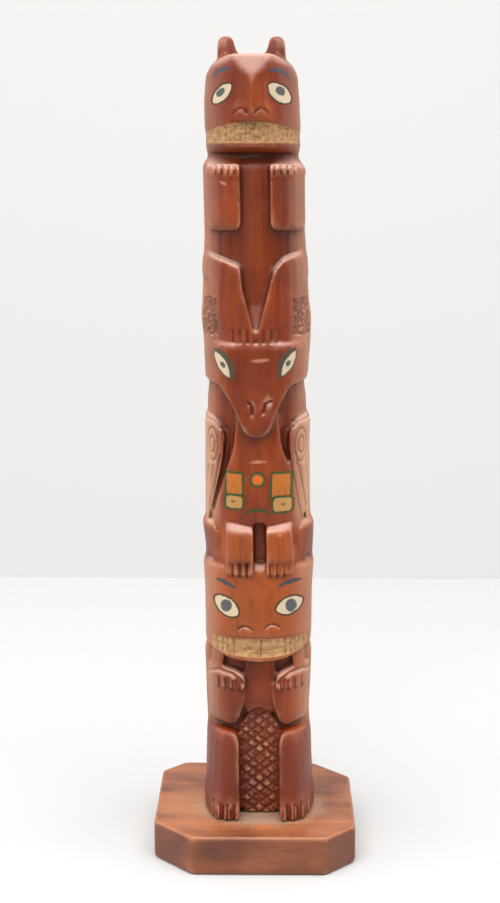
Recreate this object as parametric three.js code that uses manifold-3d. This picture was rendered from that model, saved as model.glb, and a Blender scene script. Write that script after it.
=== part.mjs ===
import * as THREE from 'three';
import Module from 'manifold-3d';
import { mergeVertices } from 'three/addons/utils/BufferGeometryUtils.js';

// Carved wooden totem pole, a keepsake about a foot tall.  One round stick carries three
// figures: a bear on top, a long-snouted winged creature in the middle and a beaver at the
// foot.  It stands on a plinth with hand-cut corners.
// Millimetres, +Z up, the figures face -Y.  The origin is the middle of the plinth's underside.
// Heights in the pole's own functions count from the top of the plinth.

const INCH = 25.4;

const PLINTH = {
  width: 3 * INCH,
  depth: 73,
  height: 15.1,
  softEdge: 0.9,
  cornerCut: { frontLeft: 14.9, frontRight: 11.4, backRight: 14.4, backLeft: 9 },
};

const POLE = {
  height: 282,
  footRadius: 20.9,
  topRadius: 17.1,
  footX: 2,
  lean: -0.012,
};

// Where one figure ends and the next begins.
const BEAVER = {
  kneeTop: 33.8,
  tailTop: 42.4,
  pawBottom: 50.6,
  pawTop: 58.2,
  chin: 61.9,
  teethBottom: 64.4,
  teethTop: 71.6,
  nostril: 75,
  headTop: 98.3,
};
const WINGED = {
  toes: 95,
  footTop: 113,
  thighTop: 115,
  wingTop: 153.5,
  snoutTip: 146.7,
  nostril: 158.5,
  cheek: 165.4,
  headTop: 197,
};
const BEAR = {
  toes: 180.9,
  kneeTop: 213.4,
  armBottom: 220.5,
  pawBottom: 239.7,
  pawTop: 244.2,
  chin: 247.8,
  teethBottom: 251.1,
  teethTop: 255.8,
  nostril: 263,
  browPoint: 272.9,
  crown: POLE.height,
  earTop: 288.7,
};

// What the figures add to the stick's half width on either side, from the foot up:
// height, left, right.
const BODY_WIDTHS = [
  [0, 0.6, 0],
  [20, 1.5, 1],
  [28, 0.6, 0.3],
  [38, 1, 0.2],
  [47, 1.1, 0.6],
  [58, 1.6, 1.4],
  [63, 1.2, 1],
  [66, 0.2, 0.3],
  [90, 0, 0.6],
  [95, 0.6, 1.3],
  [101, 1.1, 2.8],
  [108.5, -0.3, 0.8],
  [113, 0.7, 1.4],
  [127, 0.4, 1.2],
  [142, 0, 0.9],
  [147, -0.6, 0.7],
  [151, 0.4, 1.7],
  [154, 1.1, 2.1],
  [161, 1.1, 2.1],
  [165, -0.3, 0.3],
  [174, -0.3, 1.2],
  [183, 0.2, 1.7],
  [192, 1.4, 2.3],
  [220, 1.4, 2.2],
  [223, 1.2, 1.6],
  [242, 1.2, 1.5],
  [244.4, 0.7, 0.2],
  [246.7, 1, 1.2],
  [250, 0.3, 0.5],
  [256, 0.4, 0.5],
  [262, 0.4, 0],
  [282, 0.2, 0],
];

const FRONT_SIDES = 14;
const BACK_SIDES = 8;
const CORNER_STEPS = 2;
const LEFT = -1;
const RIGHT = 1;

const COLOURS = {
  carvedWood: 0xa05a2c,
  plinthWood: 0xb4744a,
};

const wasm = await Module();
wasm.setup();

function solidOf(geometry) {
  const bare = geometry.clone();
  bare.deleteAttribute('normal');
  bare.deleteAttribute('uv');
  const merged = mergeVertices(bare, 1e-5);
  return new wasm.Manifold(
    new wasm.Mesh({
      numProp: 3,
      vertProperties: new Float32Array(merged.attributes.position.array),
      triVerts: new Uint32Array(merged.index.array),
    }),
  );
}

function geometryOf(solid) {
  const { vertProperties, triVerts, numProp } = solid.getMesh();
  const positions = new Float32Array((vertProperties.length / numProp) * 3);
  for (let i = 0; i < positions.length / 3; i += 1) {
    positions.set(vertProperties.subarray(i * numProp, i * numProp + 3), i * 3);
  }
  const geometry = new THREE.BufferGeometry();
  geometry.setAttribute('position', new THREE.BufferAttribute(positions, 3));
  geometry.setIndex(new THREE.BufferAttribute(new Uint32Array(triVerts), 1));
  return geometry;
}

const joined = (solids) => solids.reduce((whole, piece) => whole.add(piece));

// Radius of the uncut stick at a height.
const girth = (z) => THREE.MathUtils.lerp(POLE.footRadius, POLE.topRadius, z / POLE.height);

// A level surface: at height z it stands proud of the stick by side, front and back (less
// than zero is cut in), and the front has a flat of the given half width.
const level = (z, side, front, back = -0.4, flat = 0) => ({ z, side, front, back, flat });

// Directions round a level, counter-clockwise from +X: finer at the front than behind.
const DIRECTIONS = [
  ...Array.from({ length: BACK_SIDES }, (_, k) => ((k + 0.5) * Math.PI) / BACK_SIDES),
  ...Array.from({ length: FRONT_SIDES }, (_, k) => Math.PI + ((k + 0.5) * Math.PI) / FRONT_SIDES),
];
const SIDES = DIRECTIONS.length;

// Closed solid through a list of levels.
function stack(levels) {
  const positions = [];
  for (const { z, side, front, back, flat } of levels) {
    const round = girth(z) + side - flat;
    for (const angle of DIRECTIONS) {
      const across = Math.cos(angle);
      const along = Math.sin(angle);
      const depth = girth(z) + (along < 0 ? front : back);
      positions.push(round * across + flat * Math.sign(across), depth * along, z);
    }
  }
  const bottom = levels.length * SIDES;
  const top = bottom + 1;
  positions.push(0, 0, levels[0].z, 0, 0, levels[levels.length - 1].z);
  const index = [];
  for (let k = 0; k < SIDES; k += 1) {
    const next = (k + 1) % SIDES;
    const last = (levels.length - 1) * SIDES;
    index.push(bottom, next, k, top, last + k, last + next);
    for (let ring = 0; ring < last; ring += SIDES) {
      index.push(ring + k, ring + next, ring + SIDES + next);
      index.push(ring + k, ring + SIDES + next, ring + SIDES + k);
    }
  }
  const geometry = new THREE.BufferGeometry();
  geometry.setAttribute('position', new THREE.Float32BufferAttribute(positions, 3));
  geometry.setIndex(index);
  return solidOf(geometry);
}

// Outline through the points, with each corner rounded to the given radius.
function softShape(points, radius) {
  const shape = new THREE.Shape();
  const corners = points.map(([x, y]) => new THREE.Vector2(x, y));
  corners.forEach((corner, i) => {
    const before = corners[(i + corners.length - 1) % corners.length];
    const after = corners[(i + 1) % corners.length];
    const reachIn = Math.min(radius, corner.distanceTo(before) / 2.2);
    const reachOut = Math.min(radius, corner.distanceTo(after) / 2.2);
    const enter = corner.clone().add(before.clone().sub(corner).setLength(reachIn));
    const leave = corner.clone().add(after.clone().sub(corner).setLength(reachOut));
    if (i === 0) {
      shape.moveTo(enter.x, enter.y);
    } else {
      shape.lineTo(enter.x, enter.y);
    }
    shape.quadraticCurveTo(corner.x, corner.y, leave.x, leave.y);
  });
  shape.closePath();
  return shape;
}

const X = new THREE.Vector3(1, 0, 0);
const Y = new THREE.Vector3(0, 1, 0);
const Z = new THREE.Vector3(0, 0, 1);
const FROM_FRONT = new THREE.Matrix4().makeBasis(X, Z, Y.clone().negate());
const FROM_SIDE = new THREE.Matrix4().makeBasis(Y, Z, X);
const FROM_ABOVE = new THREE.Matrix4();

// Solid with an outline drawn on one face of the stick, run straight along the third axis.
function prism(points, view, radius, start, length) {
  const options = { depth: length, bevelEnabled: false, curveSegments: CORNER_STEPS };
  const geometry = new THREE.ExtrudeGeometry(softShape(points, radius), options);
  geometry.translate(0, 0, start);
  geometry.applyMatrix4(view);
  return solidOf(geometry);
}

const seenFromFront = (points, radius = 1, back = 2, reach = 30) =>
  prism(points, FROM_FRONT, radius, -back, back + reach);
const seenFromSide = (points, radius = 1, left = -30, width = 60) =>
  prism(points, FROM_SIDE, radius, left, width);
const seenFromAbove = (points, radius, low, high) =>
  prism(points, FROM_ABOVE, radius, low, high - low);

// A form drawn on the front and cut down to a level surface.
const relief = (points, levels, radius = 1, back = 2) =>
  seenFromFront(points, radius, back).intersect(stack(levels));

const mirrored = (points, side) => points.map(([x, z]) => [side * x, z]);

const rectangle = (x0, x1, y0, y1) => [[x0, y0], [x1, y0], [x1, y1], [x0, y1]];

// Straight V-shaped cut between two points of a surface that faces `out`.
function vCut(from, to, out, halfWidth, depth) {
  const run = to.clone().sub(from);
  const length = run.length();
  const geometry = new THREE.CylinderGeometry(1, 1, length, 4);
  geometry.scale(halfWidth, 1, depth);
  const along = run.normalize();
  const across = along.clone().cross(out).normalize();
  const facing = across.clone().cross(along);
  const middle = from.clone().add(to).multiplyScalar(0.5);
  geometry.applyMatrix4(new THREE.Matrix4().makeBasis(across, along, facing).setPosition(middle));
  return solidOf(geometry);
}

// Place and facing of a round front of the given half width and depth, at x.
function frontPoint(x, z, half, front) {
  const share = THREE.MathUtils.clamp(x / half, -0.96, 0.96);
  const drop = Math.sqrt(1 - share * share);
  return {
    place: new THREE.Vector3(x, -front * drop, z),
    out: new THREE.Vector3(share / half, -drop / front, 0).normalize(),
  };
}

// Row of upright V cuts on a round front, one at each x.
function uprightCuts(places, low, high, half, front, width, depth) {
  return joined(
    places.map((x) => {
      const { place, out } = frontPoint(x, low, half, front);
      const top = place.clone().setZ(high);
      return vCut(place, top, out, width / 2, depth);
    }),
  );
}

// Evenly spaced places between two ends, with the ends left out.
function between(from, to, count) {
  return Array.from({ length: count }, (_, i) => from + ((to - from) * (i + 1)) / (count + 1));
}

// Cut of square section, set on edge, along a curve that lies on a surface.
function curvedCut(points, halfWidth, steps) {
  const section = new THREE.Shape([
    new THREE.Vector2(halfWidth, 0),
    new THREE.Vector2(0, halfWidth),
    new THREE.Vector2(-halfWidth, 0),
    new THREE.Vector2(0, -halfWidth),
  ]);
  const path = new THREE.CatmullRomCurve3(points);
  return solidOf(new THREE.ExtrudeGeometry(section, { extrudePath: path, steps }));
}

// Gouged arc over a nostril, on a round front.
function nostril(x, z, halfWidth, rise, half, front) {
  const points = [-1, -0.6, 0, 0.6, 1].map((t) => {
    const height = z + rise * (1 - t * t);
    return frontPoint(x + t * halfWidth, height, half, front).place;
  });
  return curvedCut(points, 0.75, 4);
}

// The stick after all ground has been cut back, without any of the standing forms.
function ground() {
  return stack([
    level(-1, -1.3, -7.6, -0.5),
    level(38, -1.2, -7.2, -0.5),
    level(47, -1, -6.6, -0.5),
    level(62, -0.7, -6.4, -0.5),
    level(112, -0.9, -4.6, -0.6),
    level(158, -1.8, -5.4, -0.8),
    level(168, -1, -4.2, -0.6),
    level(197, -0.4, -3.8, -0.5),
    level(212, -0.9, -3.6, -0.6),
    level(219, -1.2, -3.6, -0.8),
    level(243.5, -0.1, -3.8, -0.4),
    level(246.3, -2, -6, -2),
    level(262, -3, -7, -3),
  ]);
}

function beaverFeet() {
  const surface = [
    level(-0.6, 0.2, 2.6, -1, 12),
    level(4.6, 0.1, 2.3, -1, 12),
    level(9.5, -0.8, 0.4, -1, 10),
    level(30.4, -0.9, -0.2, -1, 7),
    level(BEAVER.kneeTop + 0.2, -1.6, -1.6, -1, 6),
  ];
  const leg = [[22, 0], [7.2, 0], [7, 9], [7.2, 31], [8.4, 33.8], [17, 33.8], [19.2, 31.5], [22, 26]];
  const toes = [LEFT, RIGHT].map((side) => {
    const gaps = between(side * 7.4, side * 20.6, 3).map((x) => x + 0.4);
    return uprightCuts(gaps, -1, 6.4, 32, 24.2, 1.7, 1.5);
  });
  const legs = [LEFT, RIGHT].map((side) => relief(mirrored(leg, side), surface, 1.6, 7));
  return joined(legs).subtract(joined(toes));
}

// Outline of the tail, let out all round by a margin.
function tailOutline(margin) {
  const left = -7.2 - margin;
  const right = 7.8 + margin;
  return [
    [left + 0.6, -2],
    [right - 0.8, -2],
    [right, 12],
    [right, 33],
    [right - 1.6, 39],
    [0.4, BEAVER.tailTop + 0.8 + margin],
    [left + 1.6, 39],
    [left, 33],
    [left, 12],
  ];
}

// Flat tail between the legs, cross-hatched with two families of slanting cuts.
function beaverTail() {
  const front = 14.8;
  const plate = seenFromFront(tailOutline(0), 5, 6, front);
  const spacing = 5.4;
  const rows = 8;
  const out = Y.clone().negate();
  const slants = [Math.tan(0.64), -Math.tan(0.68)];
  const cuts = slants.flatMap((slant) =>
    Array.from({ length: rows }, (_, i) => {
      const middle = 1 + i * spacing;
      const from = new THREE.Vector3(-11, -front, middle - 11 * slant);
      const to = new THREE.Vector3(11, -front, middle + 11 * slant);
      return vCut(from, to, out, 0.6, 0.8);
    }),
  );
  return plate.subtract(joined(cuts));
}

function beaverArms() {
  const surface = [
    level(34.3, -1.7, -3.4, -1.5, 3),
    level(40.3, -1.6, -1.4, -1.5, 3),
    level(50.3, -1.6, -1.8, -1.5, 3),
    level(68.3, -1.5, -2.6, -1.5, 2),
  ];
  const forearm = [[22, 38], [17.5, 36.6], [9.8, 35.4], [7.4, 37.4], [4.4, 47], [4.6, 53.4], [22, 53.4]];
  const shoulder = [[16.6, 52], [12, 52], [11.9, 68], [16.8, 68]];
  const pawSurface = [
    level(48.7, -1.1, 0.1, -1, 2.2),
    level(56.4, -1.1, 0, -1, 2.2),
    level(59.2, -2.3, -2.6, -2, 2.2),
  ];
  const paws = [
    { side: LEFT, inner: 4.4, outer: 17.6 },
    { side: RIGHT, inner: 6, outer: 19 },
  ];
  const parts = paws.map(({ side, inner, outer }) => {
    const paw = [
      [outer, BEAVER.pawBottom],
      [inner, BEAVER.pawBottom],
      [inner, BEAVER.pawTop - 2],
      [inner + 3, BEAVER.pawTop],
      [outer, BEAVER.pawTop],
    ];
    const claws = uprightCuts(
      between(side * inner, side * outer, 3),
      BEAVER.pawBottom - 1,
      BEAVER.pawTop - 3.2,
      20,
      20.2,
      1.7,
      1.4,
    );
    return relief(mirrored(paw, side), pawSurface, 1.6)
      .subtract(claws)
      .add(relief(mirrored(forearm, side), surface, 2, 4))
      .add(relief(mirrored(shoulder, side), surface, 0.6, 4));
  });
  const belly = [[-4.6, 40.5], [5.4, 40.5], [6.6, 46], [5.8, 62], [-4.6, 62], [-5.4, 46]];
  const bellySurface = [level(39.6, -2.2, -3.6), level(48.6, -2.2, -2.9), level(66.6, -2.2, -5)];
  const niche = seenFromFront(tailOutline(0.7), 5, -12);
  return joined(parts).add(relief(belly, bellySurface, 1.5)).subtract(niche);
}

function beaverHead() {
  const surface = [
    level(60, -0.5, 0.6, -0.4, 1),
    level(64, 0, 1.6, 0, 1),
    level(74, 0.2, 1.5, 0.1, 1),
    level(86, 0.4, 0.8, 0.2, 1),
    level(96.6, 0.2, -0.6, 0, 1),
    level(BEAVER.headTop + 0.6, -0.9, -2.6, -0.9, 1),
  ];
  const jawLine = [
    [-24, 67.4],
    [-17.6, 65.2],
    [-9, 62.6],
    [0, BEAVER.chin],
    [9, 62.6],
    [17.6, 65.2],
    [24, 67.4],
    [24, 104],
    [-24, 104],
  ];
  const head = relief(jawLine, surface, 1.2, 24);

  const teeth = [
    [-17.2, 66],
    [-15, 65.3],
    [0, BEAVER.teethBottom - 0.6],
    [15.4, 65],
    [18, 65.8],
    [18.2, 71.2],
    [9, BEAVER.teethTop],
    [-9, BEAVER.teethTop],
    [-17, 70.4],
  ];
  const band = seenFromFront(teeth, 0.4, 0).subtract(
    stack([level(60, 0, 0.9, 0, 1), level(75, 0, 0.7, 0, 1)]),
  );
  const half = 20.1;
  const front = 20.9;
  const small = [-13.4, 13.8];
  const incisors = [-9.2, 1.1, 10.3];
  const corners = uprightCuts([-17.6, 18.4], 65.4, 71.4, half, front, 1.2, 1.6);
  const cuts = joined([
    band,
    uprightCuts(small, 64.8, 71.2, half, front, 0.7, 0.5),
    uprightCuts(incisors, 63.8, 71.6, half, front, 1, 0.8),
    corners,
    nostril(-4.6, BEAVER.nostril - 0.2, 2.8, 1.3, 20.3, 21.4),
    nostril(5.6, BEAVER.nostril + 0.6, 2.8, 1.4, 20.3, 21.4),
  ]);
  return head.subtract(cuts);
}

// Long gouges down the flanks, behind the limbs.
function flankGouges() {
  const gouges = [LEFT, RIGHT].flatMap((side) => [
    seenFromAbove(mirrored([[23, -3], [17.6, -4], [14.6, -7], [14.4, -12], [24, -16]], side), 2, 46, 65),
    seenFromAbove(mirrored([[23, 1.4], [17.4, 2.2], [17.4, 7], [23, 8]], side), 1.5, 2.6, 25),
  ]);
  return joined(gouges);
}

function wingedLegs() {
  const foot = [
    level(93, 0, 1.4, -0.4, 4),
    level(104, 0, 1.2, -0.4, 4),
    level(111.6, -0.2, 0.9, -0.4, 4),
    level(114.6, -1, -2.6, -0.4, 4),
  ];
  const left = [[-11.4, WINGED.toes], [-1.2, WINGED.toes], [-1, 112.6], [-6, 113.4], [-11.4, 114.6]];
  const right = [[12.6, WINGED.toes], [3, WINGED.toes], [2.9, 112.6], [7, 113.2], [12.5, 114.2]];
  const thigh = [[-15.4, 96], [15.8, 96], [16.6, WINGED.thighTop], [-15.6, WINGED.thighTop]];
  const thighSurface = [
    level(96, -1, -2, -0.4, 2),
    level(106, -0.8, -2.2, -0.4, 2),
    level(116, -0.8, -2.2, -0.4, 2),
  ];
  const gap = seenFromFront([[-1.1, 90], [3, 90], [3, 114], [-1.1, 114]], 0.4, -13.6);
  const toeCuts = [[-9.2, -6, -3.6], [5, 7.6, 10.2]].map((places) =>
    uprightCuts(places, WINGED.toes - 2, WINGED.toes + 5.4, 30, 20.9, 1.5, 1.4),
  );
  return joined([relief(left, foot, 0.8), relief(right, foot, 0.8), relief(thigh, thighSurface)])
    .subtract(gap)
    .subtract(joined(toeCuts));
}

function wingedBelly() {
  const bell = [
    [-6.6, 156],
    [-8.4, 142],
    [-11.7, 131.3],
    [-14.4, 121.6],
    [-15.6, WINGED.thighTop - 1],
    [16.6, WINGED.thighTop - 1],
    [15.6, 121.6],
    [13, 131.3],
    [9.4, 142],
    [7.4, 156],
  ];
  const surface = [
    level(112, -1.2, -2.2, -0.4, 1),
    level(116, -0.7, -1.3, -0.4, 1),
    level(126, -0.5, -0.4, -0.4, 1),
    level(138, -0.8, -0.8, -0.4, 1),
    level(157, -1.4, -2.4, -0.4, 1),
  ];
  return relief(bell, surface, 2);
}

// Lobe of the haunch on each flank, under the wing tip.
function haunches() {
  const lobe = [
    [25, 112],
    [20, 113.6],
    [15.8, 113.8],
    [14.9, 110],
    [13.8, 100],
    [14.8, 98],
    [17.4, 98.8],
    [25, 103],
  ];
  const surface = [
    level(97, -2.8, -3.2, -1, 1),
    level(102, -0.8, -1.8, -0.4, 1),
    level(107.5, 0.8, -0.8, 0, 1),
    level(111.6, 0.9, -0.9, 0, 1),
    level(114.4, -0.6, -2.4, -0.6, 1),
  ];
  return joined([LEFT, RIGHT].map((side) => relief(mirrored(lobe, side), surface, 2, 9)));
}

function wings() {
  const wing = [
    [25, 153.4],
    [16.4, WINGED.wingTop],
    [12.4, 150.6],
    [11.2, 145],
    [11.7, 139],
    [13.2, 131],
    [15.6, 120.8],
    [18.4, 111.5],
    [25, 110],
  ];
  const surface = [
    level(109, -0.6, -1.2, -0.2, 0),
    level(142, 0.2, -0.5, -0.1, 0),
    level(151, -0.1, -0.9, -0.2, 0),
    level(154.2, -1.4, -2.4, -0.9, 0),
  ];
  return joined([LEFT, RIGHT].map((side) => relief(mirrored(wing, side), surface, 2, 9)));
}

function wingedHead() {
  const snout = [
    [-25, 166.6],
    [-19, 166.2],
    [-13, WINGED.cheek],
    [-8.8, 160.2],
    [-6.5, 154.6],
    [-4.4, 148.6],
    [-2, WINGED.snoutTip],
    [2.6, WINGED.snoutTip],
    [4.9, 148.8],
    [6.4, 153.6],
    [8.6, 160.2],
    [12.6, WINGED.cheek],
    [19, 166],
    [25, 166.6],
    [25, WINGED.headTop - 1],
    [-25, WINGED.headTop - 1],
  ];
  const surface = [
    level(145, 0.2, 1.9, -0.3, 2),
    level(150, 0.2, 2.6, -0.3, 4),
    level(166, 0.3, 1.7, -0.3, 6),
    level(180.2, 0.5, 1.9, -0.2, 6),
    level(181.2, 0.5, 0.2, -0.2, 6),
    level(189, 0.4, -2.4, -0.2, 4),
    level(WINGED.headTop, -0.6, -4.6, -0.8, 2),
  ];
  const marks = [LEFT, RIGHT].map((side) => {
    const top = new THREE.Vector3(0.9 + side * 3.2, -21.2, WINGED.nostril + 2.4);
    const bottom = new THREE.Vector3(0.9 + side * 1.6, -21.5, WINGED.nostril - 2.6);
    return vCut(top, bottom, Y.clone().negate(), 0.6, 0.9);
  });
  const skull = rectangle(-25, 25, WINGED.cheek + 2, WINGED.headTop);
  return seenFromFront(snout, 1.4)
    .add(seenFromFront(skull, 0.6, 24))
    .intersect(stack(surface))
    .subtract(joined(marks));
}

function bearLegs() {
  const surface = [
    level(179, 0.2, 1.6, -0.4, 3),
    level(186, 0.2, 1.2, -0.4, 3),
    level(203, -0.2, 0.7, -0.4, 3),
    level(210.5, -0.5, 0.2, -0.4, 3),
    level(214, -1.3, -2.6, -0.4, 3),
  ];
  const left = [
    [-22, BEAR.kneeTop + 0.6],
    [-16.6, BEAR.kneeTop],
    [-4.3, 208.2],
    [-3.6, 200],
    [0.4, 183.4],
    [-0.4, BEAR.toes],
    [-10, BEAR.toes],
    [-12.4, 185.2],
    [-15.4, 203.4],
    [-22, 207],
  ];
  const right = [
    [22, BEAR.kneeTop + 0.6],
    [16, BEAR.kneeTop],
    [9.6, 211],
    [6, 206.6],
    [4.2, 199],
    [0.5, 183.4],
    [1.3, BEAR.toes],
    [11, BEAR.toes],
    [13.2, 185.2],
    [16.6, 203.4],
    [22, 207],
  ];
  const toes = [[-7.6, -5, -2.4], [3.2, 5.8, 8.4]].map((places) =>
    uprightCuts(places, BEAR.toes - 1, BEAR.toes + 5.4, 24, 19.9, 1.3, 1.2),
  );
  return joined([relief(left, surface, 1.2, 1), relief(right, surface, 1.2, 1)]).subtract(joined(toes));
}

function bearArms() {
  const arms = [
    { side: LEFT, inner: 4, outer: 15.5 },
    { side: RIGHT, inner: 5.4, outer: 17.2 },
  ];
  const surface = [
    level(218.5, 0, -1, -0.4, 2),
    level(222, 0.4, 0.9, -0.4, 3),
    level(236, 0.4, 0.8, -0.4, 3),
    level(BEAR.pawTop, 0.3, 0.6, -0.4, 3),
  ];
  const pawSurface = [
    level(BEAR.pawBottom - 0.5, 0.4, 1.3, -0.4, 3),
    level(BEAR.pawTop - 1.6, 0.4, 1.6, -0.4, 3),
    level(BEAR.pawTop + 0.4, -0.4, -0.6, -0.4, 3),
  ];
  const parts = arms.map(({ side, inner, outer }) => {
    const forearm = rectangle(inner, outer, BEAR.armBottom, BEAR.pawTop - 1);
    const paw = rectangle(inner, outer + 0.4, BEAR.pawBottom, BEAR.pawTop);
    const claws = uprightCuts(
      between(side * inner, side * outer, 3),
      BEAR.pawBottom - 1,
      BEAR.pawTop - 1.3,
      21,
      19,
      1.2,
      1.1,
    );
    const reach = relief(mirrored(paw, side), pawSurface, 1.4).subtract(claws);
    return relief(mirrored(forearm, side), surface, 2.6).add(reach);
  });
  return joined(parts);
}

function bearHead() {
  const skull = stack([
    level(BEAR.chin, -1.6, -3.4, -1.6, 2),
    level(250, -0.8, 0.8, -0.9, 2),
    level(257, -0.4, 1.2, -0.5, 2),
    level(266, -0.2, 0.6, -0.4, 2),
    level(275, -0.8, 0.9, -1, 2),
    level(278.4, -2.4, 0.9, -2.8, 2),
    level(280.8, -5.2, 0.8, -5.4, 2),
    level(BEAR.crown, -7.4, 0.7, -8.6, 2),
  ]);
  const muzzle = stack([
    level(250.6, -3.8, 0.3, -6, 1),
    level(258.6, -3.4, 2.4, -6, 1),
    level(263.4, -4.4, 2.6, -6, 1),
    level(267, -7, 1.9, -6, 1),
    level(272.6, -10, 0.4, -6, 1),
  ]);
  const noseFront = -20.4;
  const bridge = seenFromAbove([[-6.8, -16.8], [0.1, noseFront - 0.3], [7, -16.8]], 0.5, 261, 281);
  const slope = 2;
  const rise = 16;
  const foreheadCut = seenFromSide(
    [
      [noseFront, BEAR.browPoint],
      [noseFront + rise / slope, BEAR.browPoint + rise],
      [noseFront - rise, BEAR.browPoint + rise],
      [noseFront - rise, BEAR.browPoint],
    ],
    0.01,
  );
  const teeth = [
    [-22, BEAR.teethBottom],
    [22, BEAR.teethBottom],
    [22, BEAR.teethTop - 0.4],
    [16, BEAR.teethTop],
    [5, BEAR.teethTop + 2.8],
    [-5, BEAR.teethTop + 2.8],
    [-15.6, BEAR.teethTop],
    [-22, BEAR.teethTop - 0.4],
  ];
  const band = seenFromFront(teeth, 0.6, 5).subtract(
    stack([level(247, -0.9, 0.4, -0.4, 2.4), level(262, -0.9, 0.9, -0.4, 2.4)]),
  );
  const gaps = uprightCuts(between(-15.5, 15.5, 5), 251.6, 257.2, 16.4, 18.2, 0.9, 0.7);
  const nostrils = [LEFT, RIGHT].map((side) =>
    nostril(side * 3.6, BEAR.nostril - 1.8, 2.4, 1.6, 9, 20.2),
  );
  return joined([skull, muzzle, bridge])
    .subtract(foreheadCut)
    .subtract(joined([band, gaps, ...nostrils]));
}

// Upright ears, each scooped out towards the front and the middle.
function bearEars() {
  const ear = [
    [12.1, 276],
    [12.1, 286.6],
    [10.6, BEAR.earTop],
    [6.4, BEAR.earTop],
    [5.6, 284],
    [3.4, 281],
    [3.2, 276],
  ];
  const profile = [
    [-6.8, 276],
    [-7, 284.6],
    [-4.6, BEAR.earTop],
    [0.6, BEAR.earTop],
    [3.4, 285.6],
    [3.8, 276],
  ];
  const scoop = { x: 3.4, y: -8, radius: 6.3, floor: 280.6 };
  return joined(
    [LEFT, RIGHT].map((side) => {
      const round = new THREE.CylinderGeometry(scoop.radius, scoop.radius * 0.8, 12, 14);
      round.rotateX(Math.PI / 2);
      round.translate(side * scoop.x, scoop.y, scoop.floor + 6);
      return seenFromFront(mirrored(ear, side), 1.8, 5, 14)
        .intersect(seenFromSide(profile, 1.8))
        .subtract(solidOf(round));
    }),
  );
}

// Shallow cuts that part the figures round the back.
function backCuts() {
  const collars = [
    { height: 61.5, depth: 1.1, spread: 2.2 },
    { height: BEAVER.headTop, depth: 1.2, spread: 2.4 },
    { height: WINGED.headTop + 1, depth: 1.1, spread: 2.4 },
  ];
  return joined(
    collars.map(({ height, depth, spread }) => {
      const behind = seenFromSide(rectangle(3, 30, height - 6, height + 6), 0.01);
      const cut = -0.4 - depth;
      const keep = stack([
        level(height - 7, 3, 3, 3),
        level(height - spread, 3, 3, 0.4),
        level(height, cut, cut, cut),
        level(height + spread, 3, 3, 0.4),
        level(height + 7, 3, 3, 3),
      ]);
      return behind.subtract(keep);
    }),
  );
}

function widthAt(z, side) {
  const column = side < 0 ? 1 : 2;
  const above = BODY_WIDTHS.findIndex(([height]) => height > z);
  if (above < 0) return BODY_WIDTHS[BODY_WIDTHS.length - 1][column];
  if (above === 0) return BODY_WIDTHS[0][column];
  const [low, high] = [BODY_WIDTHS[above - 1], BODY_WIDTHS[above]];
  return THREE.MathUtils.mapLinear(z, low[0], high[0], low[column], high[column]);
}

function widen(geometry) {
  const points = geometry.getAttribute('position');
  for (let i = 0; i < points.count; i += 1) {
    const x = points.getX(i);
    const z = points.getZ(i);
    points.setX(i, x * (1 + widthAt(z, x) / girth(z)));
  }
  points.needsUpdate = true;
}

function carvedPole() {
  const body = ground().subtract(flankGouges());
  const figures = joined([
    body,
    beaverFeet(),
    beaverTail(),
    beaverArms(),
    beaverHead(),
    wingedLegs(),
    wingedBelly(),
    haunches(),
    wings(),
    wingedHead(),
    bearLegs(),
    bearArms(),
    bearHead(),
    bearEars(),
  ]);
  const trimmed = figures.subtract(backCuts()).subtract(
    seenFromAbove(rectangle(-40, 40, -40, 40), 0.01, -20, 0),
  );
  const geometry = geometryOf(trimmed);
  widen(geometry);
  const lean = new THREE.Matrix4().makeShear(0, 0, 0, 0, POLE.lean, 0);
  geometry.applyMatrix4(lean);
  return geometry;
}

function plinthBlock() {
  const { width, depth, height, softEdge, cornerCut } = PLINTH;
  const x = width / 2;
  const y = depth / 2;
  const outline = new THREE.Shape([
    new THREE.Vector2(-x + cornerCut.frontLeft, -y),
    new THREE.Vector2(x - cornerCut.frontRight, -y),
    new THREE.Vector2(x, -y + cornerCut.frontRight),
    new THREE.Vector2(x, y - cornerCut.backRight),
    new THREE.Vector2(x - cornerCut.backRight, y),
    new THREE.Vector2(-x + cornerCut.backLeft, y),
    new THREE.Vector2(-x, y - cornerCut.backLeft),
    new THREE.Vector2(-x, -y + cornerCut.frontLeft),
  ]);
  const geometry = new THREE.ExtrudeGeometry(outline, {
    depth: height - 2 * softEdge,
    bevelThickness: softEdge,
    bevelSize: softEdge,
    bevelOffset: -softEdge,
    bevelSegments: 2,
  });
  geometry.translate(0, 0, softEdge);
  return geometry;
}

function named(name, geometry, colour, roughness) {
  const material = new THREE.MeshStandardMaterial({ color: colour, roughness, metalness: 0 });
  const mesh = new THREE.Mesh(geometry, material);
  mesh.name = name;
  return mesh;
}

const pole = named('carved_pole', carvedPole(), COLOURS.carvedWood, 0.45);
pole.position.set(POLE.footX, 0, PLINTH.height);

const totem = new THREE.Group();
totem.add(pole);
totem.add(named('plinth', plinthBlock(), COLOURS.plinthWood, 0.55));

export default totem;
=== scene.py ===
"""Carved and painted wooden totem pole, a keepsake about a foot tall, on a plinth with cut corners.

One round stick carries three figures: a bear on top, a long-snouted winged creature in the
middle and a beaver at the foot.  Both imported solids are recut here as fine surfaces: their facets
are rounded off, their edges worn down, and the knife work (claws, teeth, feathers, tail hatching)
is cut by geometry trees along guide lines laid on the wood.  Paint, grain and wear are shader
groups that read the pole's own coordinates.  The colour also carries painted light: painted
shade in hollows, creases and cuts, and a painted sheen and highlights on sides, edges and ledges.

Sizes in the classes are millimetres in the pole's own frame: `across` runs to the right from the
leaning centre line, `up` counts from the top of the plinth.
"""

import logging
import math
import random
from dataclasses import dataclass, field
from enum import Enum
from typing import Any, Iterable, Mapping, Sequence

import bpy
import numpy as np
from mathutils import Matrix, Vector
from mathutils.bvhtree import BVHTree

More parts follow.
